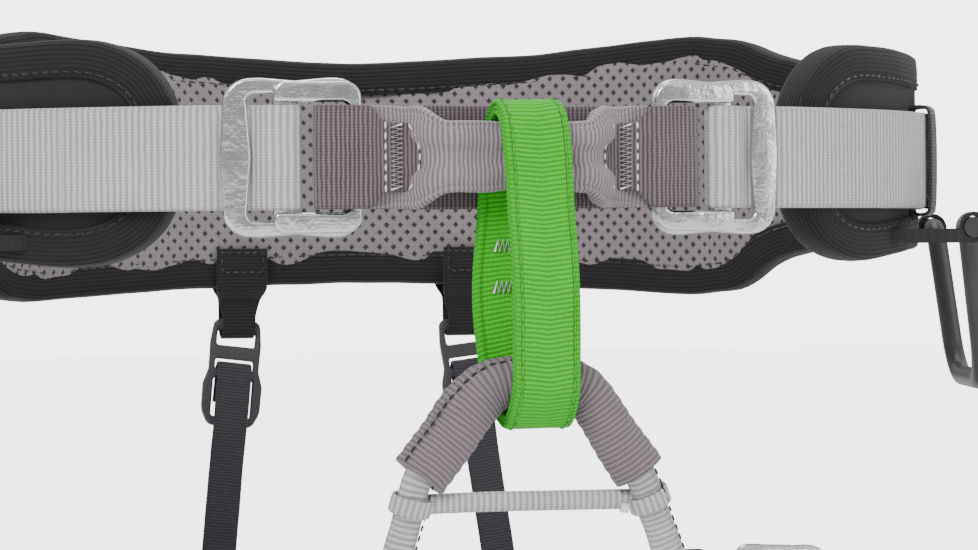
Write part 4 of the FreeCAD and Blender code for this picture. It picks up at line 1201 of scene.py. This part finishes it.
# %% Leg bridge: sleeve and straps
ARCH = [(x, LOOP_Y, z) for x, z in (
    (-30, -91), (-22.4, -81), (-14.7, -71), (-8.5, -65.6), (0, -63.6), (7, -63.5), (14, -64.8), (19, -67.4),
    (22.8, -72), (29, -81.5), (35.5, -91))]
FACE = (0, -1, 0)


def gather(share):
    """The sleeve's oval: flat and wide at the left end, round and gathered in the belay loop."""
    held = math.exp(-(((share - 0.52) / 0.20) ** 2))
    wide = 8.6 * (1 - held) + 7.0 * held
    deep = 5.0 * (1 - held) + 6.8 * held
    if share > 0.6:
        wide = 7.0 + (share - 0.6) * 2.0
        deep = 6.8 - (share - 0.6) * 2.0
    points = tube_section(1.0, 20)
    ripple = 1 + 0.02 * math.sin(share * 150)
    return [(a * wide * ripple, b * deep * ripple) for a, b in points]


arch_path = smooth_path(ARCH, 1.0)
beyond = arch_path[1:] + [arch_path[-1] * 2 - arch_path[-2]]
in_plane = [Vector(FACE).cross((b - a).normalized()) for a, b in zip(arch_path, beyond)]
sleeve = sweep("bridge_sleeve", arch_path, in_plane, gather)
wear(sleeve, 0.5, 70)
finish(sleeve, "leg_assembly", "taupe_mesh", M["sleeve"], "bridge_sleeve")
seam = []
for i in range(2, int(len(arch_path) * 0.48)):
    share = i / len(arch_path)
    wide = max(abs(a) for a, b in gather(share))
    side_way = in_plane[i].normalized()
    if side_way.z < 0:
        side_way = -side_way
    seam.append(arch_path[i] + side_way * (wide * 0.80) + Vector((0, -3.6, 0)))
stitch_rows("bridge_sleeve_seam", [seam], "leg_assembly", "black_thread", 2.2, 0.9, 0.42)

LEG_STRAP = strap_section(9.2, 5.0, 5)
feet = {"left": (-38, -98, -129.9), "right": (54, -98, -129.9)}
tops = {"left": ARCH[0], "right": ARCH[-1]}
for name, side in SIDES:
    top, foot = Vector(tops[name]), Vector(feet[name])
    inside = top + Vector((-side * 5.4, 0, 8.0))
    path = smooth_path([inside, top, top.lerp(foot, 0.35), top.lerp(foot, 0.7), foot], 1.2)
    strap = sweep(name + "_bridge_strap", path, (1, 0, 0), LEG_STRAP)
    wear(strap, 0.4, 100)
    finish(strap, "leg_assembly", "grey_webbing", M["grey_narrow"])
    if name == "left":
        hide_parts("bridge_webbing")
    edge = [p + Vector((4.5, -2.7, 0)) for p in path[8:-3]]
    stitch_rows(name + "_bridge_strap_stitches", [edge], "leg_assembly", "black_thread",
                2.0, 1.0, 0.36)

# %% Leg bridge: the cross strap, its turns round the leg straps, and its knob
CROSS_Y, CROSS_Z = LOOP_Y + 3.2, -99
rod = smooth_path([(-29.5, CROSS_Y, CROSS_Z), (-10, CROSS_Y - 0.4, CROSS_Z + 0.3),
                   (15, CROSS_Y - 0.4, CROSS_Z + 0.2), (37.5, CROSS_Y, CROSS_Z)], 1.0)
braid = sweep("cross_strap", rod, UP, strap_section(5.8, 3.6, 4))
finish(braid, "leg_assembly", "grey_webbing", M["grey_narrow"], "bridge_cross_strap")
for name, side in SIDES:
    top, foot = Vector(tops[name]), Vector(feet[name])
    way = (foot - top).normalized()
    centre = top + way * ((top.z - CROSS_Z) / -way.z)
    a = (Vector((1, 0, 0)) - way * way.x).normalized()
    b = way.cross(a)
    loop = [centre + a * 5.9 * math.cos(math.radians(t)) + b * 4.0 * math.sin(math.radians(t))
            for t in range(0, 360, 30)]
    ring = sweep(name + "_cross_strap_turn", smooth_path(loop, 1.2, closed=True), way,
                 strap_section(5.4, 0.9, 4), closed=True)
    finish(ring, "leg_assembly", "grey_webbing", M["grey_narrow"])
knob_path = smooth_path([(30.2, CROSS_Y - 2.4, CROSS_Z - 2.2), (32.4, CROSS_Y - 2.6, CROSS_Z - 2.5)], 0.5)
knob = sweep("cross_strap_knob", knob_path, UP, tube_section(1.5, 10))
finish(knob, "leg_assembly", "white_thread", M["white"])

# %% [markdown]
# ## Leg loops
# Each leg strap lies round its pad, runs to the point under the bridge where both ends meet, and is
# shortened by a smaller buckle of the same kind. Points straight in the tilted plane would be hard to
# read, so the strap is drawn flat in the leg's own plane and then tilted into place.

# %% Leg loops: straps and small buckles' webbing
LEG_STRAND = 91.3 + 0.25 + 0.9
LEG_TAIL = LEG_STRAND + 2.05
FEET = {"left": 38, "right": 54}
NARROW = strap_section(20, 1.8, 8)


def on_circle(radius, angle):
    return radius * math.cos(math.radians(angle)), radius * math.sin(math.radians(angle))


def sided(points, side):
    return [(side * x, y) for x, y in points]


leg_buckles = {}
for name, side in SIDES:
    matrix = leg_matrix(side)
    axis = matrix.to_3x3() @ Vector((0, 0, 1))

    def lifted(points, matrix=matrix):
        return [matrix @ Vector((x, y, 0)) for x, y in points]

    apex = (-(LEG_X - FEET[name]), -90 / math.cos(math.radians(LEG_TILT)))
    reach = math.hypot(*apex)
    facing = math.degrees(math.atan2(apex[1], apex[0]))
    spread = math.degrees(math.acos(LEG_STRAND / reach))
    first, last = facing + spread, facing - spread
    touch = on_circle(LEG_STRAND, first)
    run = math.hypot(touch[0] - apex[0], touch[1] - apex[1])
    way = ((touch[0] - apex[0]) / run, (touch[1] - apex[1]) / run)
    out = (way[1], -way[0])
    buckle = Buckle((0, 0), (side * way[0], way[1]), (side * out[0], out[1]), 1.8, 0.8)
    buckle.at = (side * (apex[0] + way[0] * 17) - buckle.outwards[0] * buckle.strand_n,
                 apex[1] + way[1] * 17 - buckle.outwards[1] * buckle.strand_n)
    leg_buckles[name] = (buckle, matrix)
    steps = int((360 + last - first) // 8)
    turn = (360 + last - first) / steps
    inner_end = on_circle(LEG_STRAND, last)
    main = sided([on_circle(LEG_STRAND, first + turn * i) for i in range(2, steps)], side)
    main += sided([inner_end, (apex[0] * 0.5 + inner_end[0] * 0.5, apex[1] * 0.5 + inner_end[1] * 0.5),
                   (apex[0] * 0.94 + inner_end[0] * 0.06, apex[1] * 0.94 + inner_end[1] * 0.06)], side)
    strap = sweep(name + "_leg_webbing", smooth_path(lifted(main), 2.2), axis, NARROW)
    wear(strap, 0.25, 35)
    finish(strap, "leg_assembly", "grey_webbing", M["grey_narrow"], name + "_leg_webbing")
    split = 31.5 * buckle.ratio
    path = sided([on_circle(LEG_STRAND, first + turn * i) for i in (2, 1)], side)
    path += [buckle.place(split + 3, buckle.strand_n)] + buckle.wrap()
    path += [buckle.place(split + 3, buckle.tail_n)]
    path += sided([on_circle(LEG_TAIL, first + turn * i) for i in (1, 2)], side)
    front = sweep(name + "_leg_front_webbing", smooth_path(lifted(path), 1.1), axis, NARROW)
    start = matrix @ Vector((*sided([on_circle(LEG_STRAND, first + turn * 1.8)], side)[0], 0))
    end = matrix @ Vector((*buckle.place(split + 1, buckle.strand_n), 0))
    finish_bent(front, M["grey_narrow"], ("leg_assembly", name + "_leg_buckle"),
                name + "_leg_webbing_wrap")
    tail_line = sided([on_circle(LEG_TAIL, first + turn * i) for i in range(2, 8)], side)
    tail = sweep(name + "_leg_tail", smooth_path(lifted(tail_line), 2.2), axis, NARROW)
    finish(tail, "leg_assembly", "grey_webbing", M["grey_narrow"], name + "_leg_tail")
    bend = [buckle.place(u, n) for u, n in arc(4.7, 0, buckle.loop)]
    layer = (1.8 + 0.25) / 2
    anchor = [buckle.place(-15.5, buckle.strand_n + layer + 1.2), buckle.place(-7.5, buckle.loop * 0.75)]
    anchor += [buckle.place(-2.2, buckle.loop), buckle.place(1.5, buckle.loop)] + bend
    anchor += [buckle.place(1.5, -buckle.loop), buckle.place(-2.2, -buckle.loop),
               buckle.place(-7.5, -buckle.loop - 0.3), buckle.place(-15.5, buckle.strand_n - layer)]
    short = sweep(name + "_leg_buckle_strap", smooth_path(lifted(anchor), 1.1), axis, NARROW)
    finish(short, "leg_assembly", "grey_webbing", M["grey_narrow"], name + "_leg_buckle_strap")
    tack_at = matrix @ Vector((*buckle.place(-8.5, buckle.loop * 0.8 + 1.1), 0))
    tack = zigzag(tack_at, matrix.to_3x3() @ Vector((*buckle.along, 0)), axis, 3.0, 15.0, 26)
    thread_lines(name + "_leg_bar_tack", [tack], "leg_assembly", radius=0.34)

# %% [markdown]
# ## Buckles
# Each buckle is two forged frames that pinch the webbing between them. A bevel on a boolean cut leaves
# ragged corners, so each frame is a flat curve with a window, and the curve's own bevel rounds its
# edges. The outer frame has a leaf-shaped bar, and the inner frame's rails lie on top of it.


# %% Buckles: plates with rounded edges
def rounded(corners, steps=6):
    """A closed outline with each corner (x, y, radius) rounded."""
    found = []
    count = len(corners)
    for i, (x, y, r) in enumerate(corners):
        p = Vector((x, y))
        a = (Vector(corners[i - 1][:2]) - p).normalized()
        b = (Vector(corners[(i + 1) % count][:2]) - p).normalized()
        if r <= 0:
            found.append(p)
            continue
        half = a.angle(b) / 2
        cut = r / math.tan(half)
        centre = p + (a + b).normalized() * (r / math.sin(half))
        start, end = p + a * cut - centre, p + b * cut - centre
        full = start.angle_signed(end)
        for s in range(steps + 1):
            turn = -full * s / steps
            found.append(centre + Matrix.Rotation(turn, 2) @ start)
    return found


def plate(outlines, middle, thick, edge, to_world):
    """Points and faces of a plate with holes: outlines in the plane, thickness about a middle level."""
    curve = bpy.data.curves.new("plate", "CURVE")
    curve.dimensions = "2D"
    curve.fill_mode = "BOTH"
    curve.extrude = thick / 2 - edge
    curve.bevel_depth = edge
    curve.bevel_resolution = 3
    curve.offset = -edge
    for outline in outlines:
        spline = curve.splines.new("POLY")
        spline.points.add(len(outline) - 1)
        for point, p in zip(spline.points, outline):
            point.co = (p[0], p[1], 0, 1)
        spline.use_cyclic_u = True
    obj = bpy.data.objects.new("plate", curve)
    bpy.context.collection.objects.link(obj)
    graph = bpy.context.evaluated_depsgraph_get()
    mesh = bpy.data.meshes.new_from_object(obj.evaluated_get(graph))
    points = [to_world(v.co.x, v.co.y, v.co.z + middle) for v in mesh.vertices]
    faces = [tuple(f.vertices) for f in mesh.polygons]
    bpy.data.objects.remove(obj)
    return points, faces


def merged(name, plates, smooth_angle=40):
    """One object from several plates, faces outwards, sharp corners kept crisp."""
    points, faces = [], []
    for some_points, some_faces in plates:
        start = len(points)
        points += [p * MM for p in some_points]
        faces += [tuple(i + start for i in f) for f in some_faces]
    obj = new_object(name, points, faces)
    weld = obj.modifiers.new("weld", "WELD")
    weld.merge_threshold = 0.00002
    graph = bpy.context.evaluated_depsgraph_get()
    mesh = bpy.data.meshes.new_from_object(obj.evaluated_get(graph))
    obj.modifiers.clear()
    obj.data = mesh
    if volume(obj) < 0:
        mesh.flip_normals()
    mesh.shade_smooth()
    mesh.set_sharp_from_angle(angle=math.radians(smooth_angle))
    return obj


def buckle_frames(prefix, buckle, body, half_webbing, matrix=None):
    """The outer frame with its leaf-shaped bar and the inner frame with its rails and grip bar."""
    k = buckle.ratio
    window = half_webbing + 0.7
    half = window + 7 * k

    def to_world(u, z, n):
        p = Vector((*buckle.place(u, n), z))
        return matrix @ p if matrix else p

    far = 40.5 * k - 2
    bar = far - 9 * k
    tall = window + 2.3
    side_line = [(-2, half, 7 * k), (8 * k, half, 6), (17 * k, half - 0.8 * k, 12), (27 * k, half, 8),
                 (far - 1.0 * k, half - 0.4 * k, 8 * k)]
    outline = rounded([(u, -z, r) for u, z, r in side_line] + [(far + 0.2, 0, 40)] + side_line[::-1])
    hole = rounded([(2, -tall, 2.2 * k), (bar + 1.6 * k, -tall, 2.2 * k), (bar + 0.1, 0, 30),
                    (bar + 1.6 * k, tall, 2.2 * k), (2, tall, 2.2 * k)])
    outer = merged(prefix + "_outer_frame", [plate([outline, hole], -1.1, 2.2, 1.0, to_world)])
    finish(outer, body, "polished_alloy", M["alloy"], prefix + "_outer_frame")

    near, end = 17.5 * k, 23.5 * k
    half -= 1
    rail_line = [(-1.8, half, 5 * k), (end, half, 3.4 * k), (end, window, 1.4 * k), (2.0, window, 2 * k)]
    rails = rounded([(u, -z, r) for u, z, r in rail_line] + rail_line[::-1])
    grip = rounded([(near, -window - 1.7, 1.2), (end, -window - 1.7, 1.2), (end, window + 1.7, 1.2),
                    (near, window + 1.7, 1.2)])
    inner = merged(prefix + "_inner_frame", [plate([rails], 1.2, 2.2, 1.0, to_world),
                                             plate([grip], -1.03, 2.3, 0.9, to_world)])
    finish(inner, body, "polished_alloy", M["alloy"], prefix + "_inner_frame")


for name, side in SIDES:
    buckle_frames(name + "_waist", waist_buckles[name], name + "_waist_buckle", 15)
    buckle_frames(name + "_leg", leg_buckles[name][0], name + "_leg_buckle", 10, leg_buckles[name][1])
print("buckles done")

# %% [markdown]
# ## Rear risers
# A black tape tab is folded over the belt's lower edge and holds a plastic hook. An elastic strap turns
# over the hook's lower bar and ends in a loop round a tape anchor on the leg pad. The strap leans
# between belt and leg, so hook and strap are drawn upright in the riser's own plane, and one matrix
# stands them in place.

# %% Rear risers: tabs, hooks and elastic straps
HOOK = [(7.6, 2, 2.6), (8.6, -6, 6), (8.4, -15, 5), (10, -20, 5), (9.9, -29, 8), (7.4, -34, 3.0)]
for name, side in SIDES:
    pivot = Vector((side * 39, 97, -52))
    seat = leg_matrix(side) @ Vector((*on_circle(92.9, 90 + side * 29), 38))
    length = (seat - pivot).length
    z_way = (pivot - seat).normalized()
    x_way = (Vector((1, 0, 0)) - z_way * z_way.x).normalized()
    y_way = z_way.cross(x_way)
    stand = Matrix((x_way, y_way, z_way)).transposed().to_4x4()
    stand.translation = pivot

    def to_world(x, z, y, stand=stand):
        return stand @ Vector((x, y, z))

    left_line = [(-x, z, r) for x, z, r in reversed(HOOK)]
    outline = rounded(left_line[-1:] + HOOK + left_line[:-1])
    holes = [rounded([(-w, low, 0.9), (w, low, 0.9), (w, high, 0.9), (-w, high, 0.9)], 3)
             for w, low, high in ((6.6, -7, -2), (6.6, -15, -11.5), (6.8, -31, -18))]
    hook = merged(name + "_riser_hook", [plate([outline] + holes, 0, 3.0, 0.6, to_world)])
    finish(hook, name + "_riser", "black_plastic", M["plastic"], name + "_riser_hook")

    face, low_bend = 2.4, 5.7
    route = [(face, -26), (face, -20), (face, -16.5), (face * 0.75, -13.8), (0, -12.9), (-face * 0.75, -13.8),
             (-face, -16.5), (-face, -24), (-face, -33), (-1.2, -44), (-0.9, -60), (-0.9, -length + 32),
             (-2.6, -length + 17), (-low_bend, -length + 5)]
    route += [(-low_bend * math.cos(math.radians(a)), -length - low_bend * math.sin(math.radians(a)))
              for a in range(0, 181, 30)]
    route += [(low_bend, -length + 5), (2.8, -length + 16), (1.2, -length + 25)]
    path = smooth_path([stand @ Vector((0, y, z)) for y, z in route], 1.4)
    strap = sweep(name + "_riser_strap", path, x_way, strap_section(11.6, 1.3, 5))
    wear(strap, 0.12, 120)
    finish(strap, name + "_riser", "dark_elastic", M["elastic"], name + "_riser_strap")

    loop = 2.5 + 1.2
    tab = [(-9.6, 26), (-9.3, 20), (-8.6, 13), (-loop - 0.6, 8.5), (-loop, 3)]
    tab += [(-loop * math.cos(math.radians(a)), -loop * math.sin(math.radians(a))) for a in range(0, 181, 30)]
    tab += [(loop, 3), (loop + 0.6, 8.5), (8.6, 13), (9.3, 20), (9.6, 33)]
    path = smooth_path([pivot + Vector((0, y, z)) for y, z in tab], 1.2)

    def tab_section(share):
        ends = 0.5 + 0.5 * math.cos(share * 2 * math.pi)
        return strap_section(11.2 + 6.0 * max(0.0, min(1.0, (ends - 0.25) * 2.2)), 1.1, 6)

    piece = sweep(name + "_riser_tab", path, (1, 0, 0), tab_section)
    finish(piece, "waist_belt", "black_tape", M["tape"], name + "_riser_tab")
    y, z = pivot.y - 10.25, pivot.z
    box_line = [(pivot.x + a, y, z + b) for a, b in ((-7, 24.5), (7, 24.5), (7, 18), (-7, 18), (-7, 24.5))]
    stitch_rows(name + "_riser_tab_stitches", [box_line], "waist_belt", "black_thread",
                1.8, 0.9, 0.3)

# %% [markdown]
# ## Pieces kept from the frame
# The gear loops, their tunnels, the tape anchors and the junction patches are plain shapes that the CAD
# already gives. Modelling them again would gain nothing, so they keep their CAD mesh, with a bevel
# where an edge is sharp.

# %% Pieces kept from the frame
KEPT = {
    "left_gear_loop": ("tube", "black_tube", 0),
    "right_gear_loop": ("tube", "black_tube", 0),
    "gear_loop_tunnels": ("black_cloth", "black_tape", 0.5),
    "left_riser_anchor": ("black_cloth", "black_tape", 0.5),
    "right_riser_anchor": ("black_cloth", "black_tape", 0.5),
    "left_leg_junction": ("black_cloth", "black_tape", 0),
    "right_leg_junction": ("black_cloth", "black_tape", 0),
}
for name, (material, slot, bevel) in KEPT.items():
    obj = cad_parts[name]
    obj.data.materials.clear()
    obj.data.materials.append(M[material])
    if bevel:
        soft = obj.modifiers.new("soft edges", "BEVEL")
        soft.width = bevel * MM
        soft.segments = 3
        soft.limit_method = "ANGLE"

# %% [markdown]
# ## Floor, light and camera
# The harness stands in a pale studio, lit by a large soft key light from the left front, a fill and a
# top light. A white room would light the black cloth grey, so floor and sky look bright to the camera
# only, and give the harness a softer ramp of tones to reflect. The camera is at chest height, a little
# to the left of the front.

# %% Floor
BRIGHT = 4.5
low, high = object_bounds()
floor_size, floor_z = 6.0, low[2] - 0.002
corners = [(x * floor_size, y * floor_size, floor_z) for x, y in ((-1, -1), (1, -1), (1, 1), (-1, 1))]
floor = new_object("floor", corners, [(0, 1, 2, 3)], smooth=False)
pale = Graph("pale_floor")
floor.data.materials.append(pale.paint((0.93, 0.93, 0.93, 1), 0.9))
glow = node(pale.tree, "ShaderNodeEmission", numbers={"Strength": BRIGHT})
seen = node(pale.tree, "ShaderNodeLightPath")
share = node(pale.tree, "ShaderNodeMath", {0: seen.outputs["Is Camera Ray"]}, {1: 0.85}, operation="MULTIPLY")
blend = node(pale.tree, "ShaderNodeMixShader", {"Fac": share.outputs[0], 1: pale.shader.outputs[0],
                                                2: glow.outputs[0]})
pale.tree.links.new(blend.outputs[0], pale.tree.nodes["Material Output"].inputs["Surface"])

# %% Sky: tones for the reflections, plain brightness for the camera
world = bpy.data.worlds.new("studio")
bpy.context.scene.world = world
world.use_nodes = True
room = world.node_tree
way = node(room, "ShaderNodeTexCoord")
split = node(room, "ShaderNodeSeparateXYZ", {0: way.outputs["Generated"]})
height = node(room, "ShaderNodeMapRange", {"Value": split.outputs["Z"]}, {"From Min": -1})
ramp = node(room, "ShaderNodeValToRGB", {"Fac": height.outputs["Result"]})
for place, tone in ((0.0, 0.30), (0.47, 0.22), (0.50, 0.55), (0.56, 0.35), (0.75, 1.3), (1.0, 1.6)):
    stop = ramp.color_ramp.elements[0] if place == 0.0 else ramp.color_ramp.elements.new(place)
    stop.position = place
    stop.color = (tone, tone, tone, 1)
ramp.color_ramp.elements[-1].color = (tone, tone, tone, 1)
sky = room.nodes["Background"]
sky.inputs["Strength"].default_value = 1.0
room.links.new(ramp.outputs["Color"], sky.inputs["Color"])
backdrop = node(room, "ShaderNodeBackground", numbers={"Color": (1, 1, 1, 1), "Strength": BRIGHT})
eye_ray = node(room, "ShaderNodeLightPath")
choose = node(room, "ShaderNodeMixShader", {"Fac": eye_ray.outputs["Is Camera Ray"], 1: sky.outputs[0],
                                            2: backdrop.outputs[0]})
room.links.new(choose.outputs[0], room.nodes["World Output"].inputs["Surface"])


# %% Lights
def area_light(name, place, aim, size, power):
    light = bpy.data.lights.new(name, "AREA")
    light.shape = "DISK"
    light.size = size
    light.energy = power
    obj = bpy.data.objects.new(name, light)
    bpy.context.collection.objects.link(obj)
    obj.location = place
    obj.rotation_euler = (Vector(aim) - Vector(place)).to_track_quat("-Z", "Y").to_euler()


area_light("key", (-0.9, -1.3, 1.2), (0, 0, -0.05), 0.8, 34)
area_light("fill", (1.3, -1.0, 0.4), (0, 0, -0.05), 1.0, 9)
area_light("top", (0.1, 0.3, 1.5), (0, 0, 0), 0.9, 12)

# %% Camera
AZIMUTH, ELEVATION, DISTANCE, ROLL = -15.5, 0.5, 1.100, -0.45
VIEW_WIDTH = 0.28348
target = Vector((-0.004, -0.094, -0.034))
turn, rise = math.radians(AZIMUTH), math.radians(ELEVATION)
away = Vector((math.sin(turn) * math.cos(rise), -math.cos(turn) * math.cos(rise), math.sin(rise)))
camera = bpy.data.cameras.new("camera")
camera.sensor_width = 36
camera.lens = camera.sensor_width * DISTANCE / VIEW_WIDTH
eye = bpy.data.objects.new("camera", camera)
bpy.context.collection.objects.link(eye)
eye.location = target + away * DISTANCE
roll = Quaternion((0, 0, 1), math.radians(ROLL))
eye.rotation_euler = ((-away).to_track_quat("-Z", "Y") @ roll).to_euler()
bpy.context.scene.camera = eye
